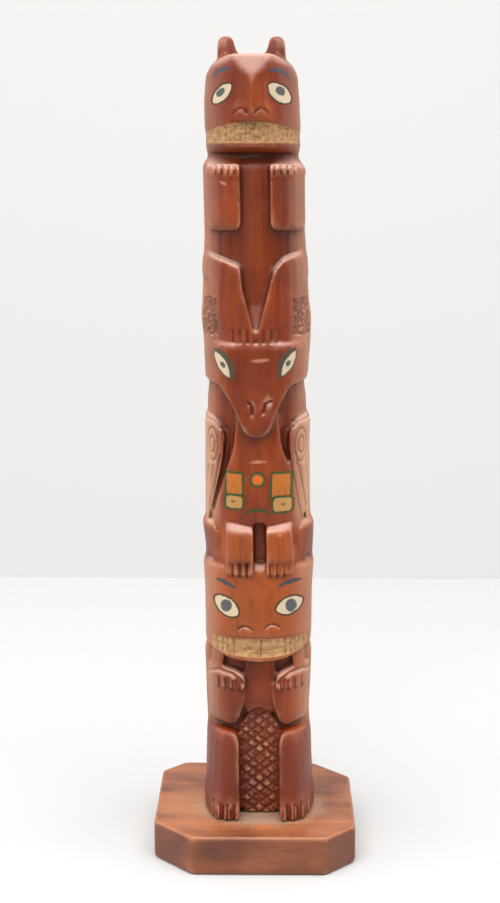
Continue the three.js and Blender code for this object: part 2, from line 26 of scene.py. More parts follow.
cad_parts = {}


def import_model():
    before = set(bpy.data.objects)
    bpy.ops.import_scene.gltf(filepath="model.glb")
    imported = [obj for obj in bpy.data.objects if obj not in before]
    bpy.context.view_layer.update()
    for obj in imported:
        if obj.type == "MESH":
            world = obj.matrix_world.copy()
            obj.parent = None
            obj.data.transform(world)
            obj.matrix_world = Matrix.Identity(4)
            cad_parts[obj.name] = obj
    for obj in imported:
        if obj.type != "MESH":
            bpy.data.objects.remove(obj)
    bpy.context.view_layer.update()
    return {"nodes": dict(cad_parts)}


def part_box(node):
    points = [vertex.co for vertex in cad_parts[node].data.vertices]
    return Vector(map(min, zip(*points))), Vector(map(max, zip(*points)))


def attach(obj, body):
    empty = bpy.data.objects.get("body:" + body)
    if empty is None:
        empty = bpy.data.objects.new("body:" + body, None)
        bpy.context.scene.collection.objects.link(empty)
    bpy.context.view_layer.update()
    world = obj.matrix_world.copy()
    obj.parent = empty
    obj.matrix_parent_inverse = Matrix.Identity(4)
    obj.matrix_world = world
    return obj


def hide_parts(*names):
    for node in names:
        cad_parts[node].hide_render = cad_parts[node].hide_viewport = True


LOG = logging.getLogger("totem_pole")
MM = 0.001

Colour = tuple[float, float, float, float]
Place = tuple[float, float]
Value = Any
Feeds = Mapping[Any, Value]
Layer = tuple[Value, Colour]
Lines = list[list[Vector]]
Socket = bpy.types.NodeSocket
Tree = bpy.types.NodeTree
Piece = bpy.types.Object

# How soft a painted edge and a tooth's edge are, in millimetres.
PAINT_EDGE = 0.3
TOOTH_EDGE = 0.4
# How deep the grain's relief is, in metres.
GRAIN_DEPTH = 0.25 * MM
# Seed of the punch marks.
PUNCH_SEED = 7


class Side(Enum):
    """Which flank a form belongs to, as the sign of its place across."""

    LEFT = -1
    RIGHT = 1


class Blade(Enum):
    """Knife cuts by use: half width and depth in millimetres."""

    HATCH = (0.65, 0.6)
    CLAW = (0.65, 0.7)
    NOTCH = (0.6, 0.4)
    TOOTH = (0.5, 0.5)
    GUM = (0.4, 0.3)
    NOSTRIL = (0.55, 0.5)
    SNOUT = (0.75, 0.9)
    FEATHER = (0.55, 0.55)
    SCRATCH = (0.4, 0.15)
    SHELF = (0.9, 0.7)


def stain(red: int, green: int, blue: int) -> Colour:
    """Turn a paint-chart colour into scene light.

    Args:
        red: Red from 0 to 255.
        green: Green from 0 to 255.
        blue: Blue from 0 to 255.

    Returns:
        The colour with its alpha, in linear light.
    """
    parts = [channel / 255 for channel in (red, green, blue)]
    linear = [c / 12.92 if c <= 0.04045 else ((c + 0.055) / 1.055) ** 2.4 for c in parts]
    return (linear[0], linear[1], linear[2], 1.0)


# ---------------------------------------------------------------------------
# Node trees
# ---------------------------------------------------------------------------


class TreeBench:
    """Wires one node tree: puts nodes down and feeds their sockets."""

    def __init__(self, tree: Tree) -> None:
        """Take a tree to work on."""
        self.tree = tree

    def feed(self, socket: Socket, value: Value) -> None:
        """Link a socket to another, or set it to a plain value.

        Args:
            socket: The input to feed.
            value: An output socket, or a number, colour, vector or text.
        """
        if isinstance(value, Socket):
            self.tree.links.new(value, socket)
        else:
            socket.default_value = value

    def put(self, kind: str, feeds: Feeds | None = None, **settings: Value) -> bpy.types.Node:
        """Put a node down.

        Args:
            kind: The node's type.
            feeds: Values or sockets by input name or number.
            **settings: Properties of the node itself.

        Returns:
            The new node.
        """
        node = self.tree.nodes.new(kind)
        for name, value in settings.items():
            setattr(node, name, value)
        for key, value in (feeds or {}).items():
            self.feed(node.inputs[key], value)
        return node

    def feed_all(self, sockets: Any, values: Feeds) -> None:
        """Feed several inputs by name."""
        for name, value in values.items():
            self.feed(sockets[name], value)

    def calc(self, operation: str, *values: Value, clamp: bool = False) -> Socket:
        """Do one sum with a Math node and return its result."""
        feeds = dict(enumerate(values))
        return self.put("ShaderNodeMath", feeds, operation=operation, use_clamp=clamp).outputs[0]

    def product(self, *values: Value) -> Socket:
        """Multiply several masks together.

        Args:
            *values: Sockets or numbers.

        Returns:
            Their product.
        """
        result = values[0]
        for value in values[1:]:
            result = self.calc("MULTIPLY", result, value)
        return result

    def above(self, value: Value, limit: Value, softness: float) -> Socket:
        """Mask that rises from 0 to 1 as a value passes a limit.

        Args:
            value: What is compared.
            limit: Where the mask starts to rise.
            softness: How far above the limit it reaches 1.

        Returns:
            The mask.
        """
        gap = self.calc("SUBTRACT", value, limit)
        return self.calc("DIVIDE", gap, softness, clamp=True)

    def between(self, value: Value, span: Sequence[Value], rise: float, fall: float) -> Socket:
        """Mask that is 1 between two limits.

        Args:
            value: What is compared.
            span: Lower and upper limit.
            rise: Softness inside the lower limit.
            fall: Softness inside the upper limit.

        Returns:
            The mask.
        """
        return self.product(self.above(value, span[0], rise), self.above(span[1], value, fall))

    def inverse(self, mask: Value) -> Socket:
        """Return what a mask leaves out."""
        return self.calc("SUBTRACT", 1.0, mask)

    def centred(self, value: Value) -> Socket:
        """Return a noise value moved down so that it swings about 0."""
        return self.calc("SUBTRACT", value, 0.5)

    def contrast(self, value: Value, gain: float, lift: float) -> Socket:
        """Return a value times a gain plus a lift, kept between 0 and 1."""
        return self.calc("MULTIPLY_ADD", value, gain, lift, clamp=True)

    def distance(self, wide: Value, high: Value) -> Socket:
        """Return how far two offsets at right angles lead away."""
        squares = self.calc("ADD", self.product(wide, wide), self.product(high, high))
        return self.calc("SQRT", squares)

    def attribute(self, name: str) -> Socket:
        """Return a value that is stored on the piece's points."""
        return self.put("ShaderNodeAttribute", attribute_name=name).outputs["Fac"]

    def coat(self, mask: Value, under: Value, over: Value) -> Socket:
        """Lay one colour over another through a mask.

        Args:
            mask: How much of the upper colour shows.
            under: Lower colour.
            over: Upper colour.

        Returns:
            The mixed colour.
        """
        mix = self.put("ShaderNodeMix", data_type="RGBA")
        self.feed(mix.inputs[0], mask)
        self.feed(mix.inputs[6], under)
        self.feed(mix.inputs[7], over)
        return mix.outputs[2]

    def coats(self, under: Value, layers: Iterable[Layer]) -> Value:
        """Lay several colours over one another, each through its own mask."""
        for mask, tint in layers:
            under = self.coat(mask, under, tint)
        return under

    def blend(self, mask: Value, under: Value, over: Value) -> Socket:
        """Mix two numbers through a mask and return the result."""
        mix = self.put("ShaderNodeMix", data_type="FLOAT")
        self.feed(mix.inputs[0], mask)
        self.feed(mix.inputs[2], under)
        self.feed(mix.inputs[3], over)
        return mix.outputs[0]

    def noise(self, vector: Value, scale: Value, detail: float, rough: float = 0.5) -> Socket:
        """Return the value of a noise texture at a vector."""
        feeds = {"Vector": vector, "Scale": scale, "Detail": detail, "Roughness": rough}
        return self.put("ShaderNodeTexNoise", feeds).outputs[0]

    def stretched(self, vector: Value, scale: Sequence[float]) -> Socket:
        """Return a vector scaled separately along each axis."""
        node = self.put("ShaderNodeVectorMath", {0: vector, 1: tuple(scale)}, operation="MULTIPLY")
        return node.outputs[0]


@dataclass(frozen=True)
class Port:
    """One named socket of a group."""

    name: str
    start: Value = 0.0
    kind: str = "NodeSocketFloat"


def new_tree(
    name: str, family: str, takes: Iterable[Port], gives: Iterable[Port]
) -> tuple[TreeBench, Any, Any]:
    """Start a node group with named inputs and outputs.

    Args:
        name: The group's name.
        family: ShaderNodeTree or GeometryNodeTree.
        takes: Its inputs.
        gives: Its outputs.

    Returns:
        The bench, the group's input node and its output node.
    """
    tree = bpy.data.node_groups.new(name, family)
    for port in takes:
        socket = tree.interface.new_socket(port.name, in_out="INPUT", socket_type=port.kind)
        if port.kind == "NodeSocketFloat":
            socket.default_value = port.start
    for port in gives:
        tree.interface.new_socket(port.name, in_out="OUTPUT", socket_type=port.kind)
    bench = TreeBench(tree)
    return bench, bench.put("NodeGroupInput"), bench.put("NodeGroupOutput")


# ---------------------------------------------------------------------------
# Geometry trees
# ---------------------------------------------------------------------------

GEOMETRY = "NodeSocketGeometry"


class CarvingTrees:
    """The geometry trees that cut the wood."""

    def __init__(self) -> None:
        """Build each tree once."""
        self.knife = self._knife_tree()
        self.punch = self._punch_tree()
        self.hand = self._hand_tree()

    @staticmethod
    def _open(name: str, sizes: Iterable[Port]) -> tuple[TreeBench, Any, Any]:
        """Start a tree that takes a surface, its own sizes and a finish.

        Args:
            name: The tree's name.
            sizes: Its own inputs.

        Returns:
            The bench, the tree's inputs and its output node.
        """
        surface = Port("Geometry", kind=GEOMETRY)
        takes = [surface, *sizes, Port("Finish", kind="NodeSocketMaterial")]
        bench, source, out = new_tree(name, "GeometryNodeTree", takes, [surface])
        return bench, source.outputs, out

    @staticmethod
    def _close(bench: TreeBench, geometry: Value, finish: Value, out: Any) -> None:
        """End a tree with plain geometry that carries its finish.

        Args:
            bench: The tree's bench.
            geometry: The carved geometry.
            finish: Material socket.
            out: The group's output node.
        """
        real = bench.put("GeometryNodeRealizeInstances", {"Geometry": geometry})
        feeds = {"Geometry": real.outputs[0], "Material": finish}
        dressed = bench.put("GeometryNodeSetMaterial", feeds)
        bench.feed(out.inputs[0], dressed.outputs[0])

    @staticmethod
    def _sink(bench: TreeBench, geometry: Value, depth: Value) -> Socket:
        """Push a surface in along its normals by a depth in metres.

        Args:
            bench: The tree's bench.
            geometry: Surface to move.
            depth: How far in each point goes.

        Returns:
            The moved geometry.
        """
        normal = bench.put("GeometryNodeInputNormal").outputs[0]
        inward = bench.calc("MULTIPLY", depth, -1.0)
        offset = bench.put("ShaderNodeVectorMath", {0: normal, "Scale": inward}, operation="SCALE")
        feeds = {"Geometry": geometry, "Offset": offset.outputs[0]}
        return bench.put("GeometryNodeSetPosition", feeds).outputs[0]

    def _knife_tree(self) -> Tree:
        """V-shaped cuts along guide lines, with a mark left in the `cut` attribute.

        Returns:
            The tree.
        """
        sizes = [
            Port("Guides", kind="NodeSocketObject"),
            Port("Half Width", 0.8 * MM),
            Port("Depth", 0.8 * MM),
            Port("Unevenness", 0.5),
        ]
        bench, given, out = self._open("KnifeCuts", sizes)
        lines = bench.put("GeometryNodeObjectInfo", {"Object": given["Guides"]})
        feeds = {0: lines.outputs["Geometry"]}
        near = bench.put("GeometryNodeProximity", feeds, target_element="EDGES")
        place = bench.put("GeometryNodeInputPosition").outputs[0]
        waver = bench.centred(bench.noise(place, 420.0, 2.0))
        swing = bench.calc("MULTIPLY", waver, given["Unevenness"])
        width = bench.calc("MULTIPLY", given["Half Width"], bench.calc("ADD", swing, 1.0))
        share = bench.calc("DIVIDE", near.outputs["Distance"], width)
        bite = bench.calc("SUBTRACT", 1.0, share, clamp=True)
        depth = bench.calc("MULTIPLY", bench.calc("POWER", bite, 0.8), given["Depth"])
        carved = self._sink(bench, given["Geometry"], depth)
        before = bench.put("GeometryNodeInputNamedAttribute", {"Name": "cut"}, data_type="FLOAT")
        mark = bench.calc("MAXIMUM", before.outputs[0], bite)
        stored = bench.put("GeometryNodeStoreNamedAttribute", data_type="FLOAT", domain="POINT")
        bench.feed_all(stored.inputs, {"Geometry": carved, "Name": "cut", "Value": mark})
        self._close(bench, stored.outputs[0], given["Finish"], out)
        return bench.tree

    def _punch_tree(self) -> Tree:
        """Close-set dents wherever a named patch attribute is above zero.

        Returns:
            The tree.
        """
        sizes = [
            Port("Patch", kind="NodeSocketString"),
            Port("Marks", 400000.0),
            Port("Radius", 0.8 * MM),
            Port("Depth", 0.4 * MM),
        ]
        bench, given, out = self._open("PunchMarks", sizes)
        patch = bench.put("GeometryNodeInputNamedAttribute", data_type="FLOAT")
        bench.feed(patch.inputs["Name"], given["Patch"])
        points = bench.put("GeometryNodeDistributePointsOnFaces", distribute_method="RANDOM")
        density = bench.product(patch.outputs[0], given["Marks"])
        feeds = {"Mesh": given["Geometry"], "Density": density, "Seed": PUNCH_SEED}
        bench.feed_all(points.inputs, feeds)
        near = bench.put("GeometryNodeProximity", {0: points.outputs[0]}, target_element="POINTS")
        share = bench.calc("DIVIDE", near.outputs["Distance"], given["Radius"])
        bite = bench.calc("SUBTRACT", 1.0, bench.calc("POWER", share, 2.0), clamp=True)
        depth = bench.product(bite, patch.outputs[0], given["Depth"])
        carved = self._sink(bench, given["Geometry"], depth)
        self._close(bench, carved, given["Finish"], out)
        return bench.tree

    def _hand_tree(self) -> Tree:
        """Slow hollows that a knife leaves in a flat, never proud of the wood.

        Returns:
            The tree.
        """
        sizes = [Port("Hollow", 0.25 * MM), Port("Fineness", 130.0)]
        bench, given, out = self._open("HandCut", sizes)
        place = bench.put("GeometryNodeInputPosition").outputs[0]
        long = bench.stretched(place, (1.0, 1.0, 0.4))
        slow = bench.noise(long, given["Fineness"], 2.0)
        depth = bench.calc("MULTIPLY", slow, given["Hollow"])
        carved = self._sink(bench, given["Geometry"], depth)
        self._close(bench, carved, given["Finish"], out)
        return bench.tree


def settle(piece: Piece) -> None:
    """Bake a piece's modifiers into its mesh and clear them."""
    graph = bpy.context.evaluated_depsgraph_get()
    mesh = bpy.data.meshes.new_from_object(piece.evaluated_get(graph))
    piece.modifiers.clear()
    piece.data = mesh


def run_tree(piece: Piece, tree: Tree, values: Mapping[str, Value]) -> None:
    """Run a geometry tree on a piece and keep the plain mesh.

    Args:
        piece: What is carved.
        tree: The geometry tree.
        values: The tree's inputs by name.
    """
    modifier = piece.modifiers.new(tree.name, "NODES")
    modifier.node_group = tree
    for item in tree.interface.items_tree:
        if item.in_out == "INPUT" and item.name in values:
            modifier[item.identifier] = values[item.name]
    settle(piece)


# ---------------------------------------------------------------------------
# Cutting the solids fine
# ---------------------------------------------------------------------------


@dataclass
class CentreLine:
    """The stick's own slightly leaning axis."""

    foot: float
    offset: float = 2.0
    lean: float = -0.012
    foot_radius: float = 20.9
    taper: float = 3.8 / 282

    def local(self, points: np.ndarray) -> np.ndarray:
        """Turn scene points into the pole's frame.

        Args:
            points: Points in metres, one a row.

        Returns:
            Across, behind and up in millimetres, one a row.
        """
        up = points[:, 2] / MM - self.foot
        across = points[:, 0] / MM - self.offset - self.lean * up
        return np.column_stack([across, points[:, 1] / MM, up])

    def world(self, across: float, behind: float, up: float) -> Vector:
        """Turn a place in the pole's frame into scene metres.

        Args:
            across: Millimetres to the right of the axis.
            behind: Millimetres behind the axis.
            up: Millimetres above the plinth.

        Returns:
            The point in metres.
        """
        return Vector((self.offset + self.lean * up + across, behind, up + self.foot)) * MM

    def girth(self, up: float) -> float:
        """Radius of the uncut stick at a height."""
        return self.foot_radius - self.taper * up


def fine_copy(node: Piece, name: str, voxel: float) -> Piece:
    """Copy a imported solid, weld it and remesh it evenly.

    Args:
        node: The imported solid.
        name: The new piece's name.
        voxel: Size of the remesh, in metres.

    Returns:
        The fine piece.
    """
    piece = bpy.data.objects.new(name, node.data.copy())
    bpy.context.scene.collection.objects.link(piece)
    weld = piece.modifiers.new("Weld", "WELD")
    weld.merge_threshold = 1e-6
    settle(piece)
    remesh = piece.modifiers.new("Even", "REMESH")
    remesh.mode = "VOXEL"
    remesh.voxel_size = voxel
    settle(piece)
    return piece


def read_rows(items: Any, name: str) -> np.ndarray:
    """Return three numbers for each item of a mesh, one item a row."""
    flat = np.empty(len(items) * 3, dtype=np.float32)
    items.foreach_get(name, flat)
    return flat.reshape(-1, 3).astype(np.float64)


def read_points(mesh: bpy.types.Mesh) -> np.ndarray:
    """Return a mesh's points, one a row."""
    return read_rows(mesh.vertices, "co")


def read_normals(mesh: bpy.types.Mesh) -> np.ndarray:
    """Return a mesh's point normals, one a row."""
    return read_rows(mesh.vertex_normals, "vector")


def write_points(mesh: bpy.types.Mesh, points: np.ndarray) -> None:
    """Move a mesh's points and refresh its normals."""
    mesh.vertices.foreach_set("co", points.astype(np.float32).ravel())
    mesh.update()


class Neighbours:
    """Averages over the points that share an edge."""

    def __init__(self, mesh: bpy.types.Mesh) -> None:
        """Read the mesh's edges once."""
        pairs = np.empty(len(mesh.edges) * 2, dtype=np.int32)
        mesh.edges.foreach_get("vertices", pairs)
        pairs = pairs.reshape(-1, 2)
        self.ends = np.concatenate([pairs[:, 0], pairs[:, 1]])
        self.others = np.concatenate([pairs[:, 1], pairs[:, 0]])
        self.count = len(mesh.vertices)
        self.degree = np.maximum(np.bincount(self.ends, minlength=self.count), 1)

    def mean(self, values: np.ndarray) -> np.ndarray:
        """Average each point's neighbours.

        Args:
            values: One row for each point.

        Returns:
            The averages, one row for each point.
        """
        columns = [
            np.bincount(self.ends, weights=values[self.others, k], minlength=self.count)
            for k in range(values.shape[1])
        ]
        return np.column_stack(columns) / self.degree[:, None]


def wear_down(mesh: bpy.types.Mesh, passes: int, hollow_share: float) -> None:
    """Round off what stands proud and leave the creases nearly as they are.

    Args:
        mesh: The surface, changed in place.
        passes: How long it is worn.
        hollow_share: How much of the same smoothing the creases get.
    """
    step = 0.5
    passes_between_normals = 4
    near = Neighbours(mesh)
    points = read_points(mesh)
    for turn in range(passes):
        if turn % passes_between_normals == 0:
            write_points(mesh, points)
            normals = read_normals(mesh)
        shift = near.mean(points) - points
        along = np.einsum("ij,ij->i", shift, normals)
        share = np.where(along < 0, step, step * hollow_share)
        points += shift * share[:, None]
    write_points(mesh, points)


def set_patch(mesh: bpy.types.Mesh, name: str, mask: np.ndarray) -> None:
    """Store a mask from 0 to 1 as a point attribute."""
    layer = mesh.attributes.new(name, "FLOAT", "POINT")
    layer.data.foreach_set("value", mask.astype(np.float32))


def mark_form(mesh: bpy.types.Mesh, passes: int = 8, reach: float = 0.3 * MM) -> None:
    """Store how proud, hollow or level the surface is, as `edge`, `crease` and `ledge` from 0 to 1.

    Args:
        mesh: The finished surface.
        passes: How wide a neighbourhood counts.
        reach: Height in metres over the neighbourhood that counts as 1.
    """
    near = Neighbours(mesh)
    points = read_points(mesh)
    smooth = points.copy()
    for _ in range(passes):
        smooth = near.mean(smooth)
    normals = read_normals(mesh)
    proud = np.einsum("ij,ij->i", points - smooth, normals) / reach
    for name, values in (("edge", proud), ("crease", -proud), ("ledge", normals[:, 2])):
        set_patch(mesh, name, np.clip(values, 0, 1))


def thin_out(piece: Piece, limit: int) -> None:
    """Bring a piece's triangle count under a limit.

    Args:
        piece: The piece, changed in place.
        limit: The most triangles it may have.
    """
    count = sum(len(face.vertices) - 2 for face in piece.data.polygons)
    if count > limit:
        thin = piece.modifiers.new("Thin", "DECIMATE")
        thin.ratio = limit / count
        settle(piece)


def complete(piece: Piece, finish: bpy.types.Material, limit: int) -> None:
    """Thin a carved piece, store its form, shade it smooth and dress it.

    Args:
        piece: The piece, changed in place.
        finish: Its one material.
        limit: The most triangles it may have.
    """
    thin_out(piece, limit)
    mesh = piece.data
    mark_form(mesh)
    mesh.materials.clear()
    mesh.materials.append(finish)
    mesh.polygons.foreach_set("use_smooth", [True] * len(mesh.polygons))
    mesh.polygons.foreach_set("material_index", [0] * len(mesh.polygons))
    mesh.update()


# ---------------------------------------------------------------------------
# Guide lines for the knife
# ---------------------------------------------------------------------------


@dataclass
class Surveyor:
    """Lays guide lines on the pole's surface."""

    piece: Piece
    axis: CentreLine
    step: float = 0.5
    seed: int = 11
    reach: float = 40.0
    tree: BVHTree = field(init=False)
    hand: random.Random = field(init=False)

    def __post_init__(self) -> None:
        """Read the surface once."""
        self.tree = BVHTree.FromObject(self.piece, bpy.context.evaluated_depsgraph_get())
        self.hand = random.Random(self.seed)

    def front(self, across: float, up: float) -> Vector | None:
        """Find the surface straight behind a place on the front."""
        start = self.axis.world(across, -self.reach, up)
        return self.tree.ray_cast(start, Vector((0, 1, 0)))[0]

    def around(self, angle: float, up: float) -> Vector | None:
        """Find the surface at an angle round from the front.

        Args:
            angle: Degrees, positive to the right.
            up: Height on the pole.

        Returns:
            The point, or None where there is no wood.
        """
        turn = math.radians(angle)
        out = Vector((math.sin(turn), -math.cos(turn), 0))
        start = self.axis.world(0, 0, up) + out * self.reach * MM
        return self.tree.ray_cast(start, -out)[0]

    def lay(self, path: Sequence[Place], wrapped: bool = False) -> list[Vector]:
        """Lay one path on the wood.

        Args:
            path: Places along it, as (across, up), or as (angle, up) if wrapped.
            wrapped: Whether the first number is an angle round the pole.

        Returns:
            Points on the surface.
        """
        find = self.around if wrapped else self.front
        scale = self.axis.foot_radius * math.pi / 180 if wrapped else 1.0
        points = []
        for (x0, z0), (x1, z1) in zip(path, path[1:]):
            length = math.hypot((x1 - x0) * scale, z1 - z0)
            count = max(2, math.ceil(length / self.step))
            for k in range(count + 1):
                share = k / count
                points.append(find(x0 + (x1 - x0) * share, z0 + (z1 - z0) * share))
        return [point for point in points if point is not None]

    def lay_all(self, paths: Iterable[Sequence[Place]], wrapped: bool = False) -> Lines:
        """Lay several paths on the wood."""
        return [self.lay(path, wrapped) for path in paths]

    def nostrils(self, places: Iterable[Place], half: float, rise: float) -> Lines:
        """Lay a low arch over each of several places."""
        return self.lay_all(arch(place, half, rise) for place in places)

    def upright(self, places: Iterable[float], span: Place) -> Lines:
        """Lay upright lines at places across, from one height to another."""
        return self.lay_all([(x, span[0]), (x, span[1])] for x in places)

    def guides(self, name: str, paths: Iterable[list[Vector]]) -> Piece:
        """Make one guide object out of laid paths.

        Args:
            name: The guide's name.
            paths: Points along each line.

        Returns:
            A mesh object of edges.
        """
        points: list[Vector] = []
        edges: list[tuple[int, int]] = []
        for path in paths:
            start = len(points)
            points.extend(path)
            edges.extend((start + k, start + k + 1) for k in range(len(path) - 1))
        mesh = bpy.data.meshes.new(name)
        mesh.from_pydata([tuple(point) for point in points], edges, [])
        guide = bpy.data.objects.new(name, mesh)
        bpy.context.scene.collection.objects.link(guide)
        return guide


def spread(low: float, high: float, count: int) -> list[float]:
    """Even places between two ends, with the ends left out."""
    return [low + (high - low) * (k + 1) / (count + 1) for k in range(count)]


def fingers(paws: Iterable[Place]) -> list[float]:
    """Places of the cuts that part the fingers or toes of each paw."""
    cuts_each = 4
    return [x for inner, outer in paws for x in spread(inner, outer, cuts_each)]


def arch(centre: Place, half: float, rise: float, steps: int = 8) -> list[Place]:
    """Low arch over a place, from left to right.

    Args:
        centre: Middle of the arch's foot.
        half: Half its width.
        rise: Height of its middle.
        steps: How many pieces it has.

    Returns:
        Places along it.
    """
    shares = [2 * k / steps - 1 for k in range(steps + 1)]
    return [(centre[0] + half * s, centre[1] + rise * (1 - s * s)) for s in shares]


def loop(centre: Place, half: Place, steps: int = 24) -> list[Place]:
    """Closed oval round a place.

    Args:
        centre: Its middle.
        half: Its half width and half height.
        steps: How many pieces it has.

    Returns:
        Places along it, with the first one again at the end.
    """
    turns = [2 * math.pi * k / steps for k in range(steps + 1)]
    return [(centre[0] + half[0] * math.cos(t), centre[1] + half[1] * math.sin(t)) for t in turns]


@dataclass
class BearCuts:
    """Knife work on the bear."""

    toe_places: tuple[float, ...] = (-7.6, -5.0, -2.4, 3.2, 5.8, 8.4)
    toe_span: Place = (181.2, 185.4)
    paws: tuple[Place, ...] = ((-15.5, -4.0), (5.4, 17.2))
    claw_span: Place = (240.3, 243.4)
    nostrils: tuple[Place, ...] = ((-3.9, 261.3), (3.3, 261.3))
    nostril_half: float = 2.3
    nostril_rise: float = 1.8
    teeth_half: float = 15.6
    teeth_span: Place = (251.3, 258.2)
    teeth_fall: float = 0.0105
    teeth_marks: int = 18
    teeth_waver: float = 0.4
    mark_starts: Place = (0.0, 0.35)
    mark_ends: Place = (0.6, 1.0)

    def claws(self, survey: Surveyor) -> Lines:
        """Upright cuts between the fingers, laid on the wood."""
        return survey.upright(fingers(self.paws), self.claw_span)

    def toes(self, survey: Surveyor) -> Lines:
        """Faint upright cuts between the toes, laid on the wood."""
        return survey.upright(self.toe_places, self.toe_span)

    def teeth(self, survey: Surveyor) -> Lines:
        """Rough upright scratches all along the teeth.

        Args:
            survey: Lays the lines.

        Returns:
            The laid lines.
        """
        low, high = self.teeth_span
        draw, waver = survey.hand.uniform, self.teeth_waver
        lines = []
        for x in spread(-self.teeth_half, self.teeth_half, self.teeth_marks):
            foot, head = x + draw(-waver, waver), x + draw(-waver, waver)
            tall = high - self.teeth_fall * x * x - low
            start, end = draw(*self.mark_starts), draw(*self.mark_ends)
            lines.append(survey.lay([(foot, low + tall * start), (head, low + tall * end)]))
        return lines

    def noses(self, survey: Surveyor) -> Lines:
        """Arched cuts over the nostrils, laid on the wood."""
        return survey.nostrils(self.nostrils, self.nostril_half, self.nostril_rise)


@dataclass
class WingedCuts:
    """Knife work on the winged creature."""

    toe_places: tuple[float, ...] = (-9.0, -6.4, -3.8, 4.8, 7.4, 10.0)
    seams: tuple[tuple[Place, ...], ...] = (
        ((-13.4, 139.0), (-15.2, 130.0), (-17.8, 119.0)),
        ((15.2, 137.0), (16.8, 130.0), (18.8, 119.0)),
    )
    toe_span: Place = (94.4, 99.4)
    nostrils: tuple[tuple[Place, ...], ...] = (
        ((-2.3, 159.6), (-1.1, 158.4), (-1.2, 155.4)),
        ((5.7, 160.3), (3.6, 159.2), (2.9, 156.0)),
    )
    joint: Place = (60.0, 142.6)
    joint_half: Place = (11.5, 6.2)
    pupil_half: Place = (5.5, 3.0)
    rim: tuple[Place, ...] = (
        (104, 150), (84, 152), (56, 151.4), (43, 148.5), (40, 143), (45, 133), (53, 122), (63, 114),
    )
    feathers: tuple[tuple[Place, ...], ...] = (
        ((58, 134.5), (64, 125), (70, 114)),
        ((70, 134), (77, 124), (82, 112.5)),
        ((84, 138), (91, 126), (95, 113)),
        ((98, 141), (104, 129), (107, 115)),
    )

    def claws(self, survey: Surveyor) -> Lines:
        """Upright cuts between the toes, laid on the wood."""
        return survey.upright(self.toe_places, self.toe_span)

    def wing_edges(self, survey: Surveyor) -> Lines:
        """The seams between the belly and the wings, laid on the wood."""
        return survey.lay_all(self.seams)

    def noses(self, survey: Surveyor) -> Lines:
        """Slanting cuts at the nostrils, laid on the wood."""
        return survey.lay_all(self.nostrils)

    def wings(self, survey: Surveyor) -> Lines:
        """Rim, joint ovals and feather lines on both wings.

        Args:
            survey: Lays the lines.

        Returns:
            The laid lines.
        """
        ovals = [loop(self.joint, self.joint_half), loop(self.joint, self.pupil_half, 16)]
        paths = [self.rim, *ovals, *self.feathers]
        lines: Lines = []
        for side in Side:
            turned = [[(side.value * angle, up) for angle, up in path] for path in paths]
            lines += survey.lay_all(turned, wrapped=True)
        return lines


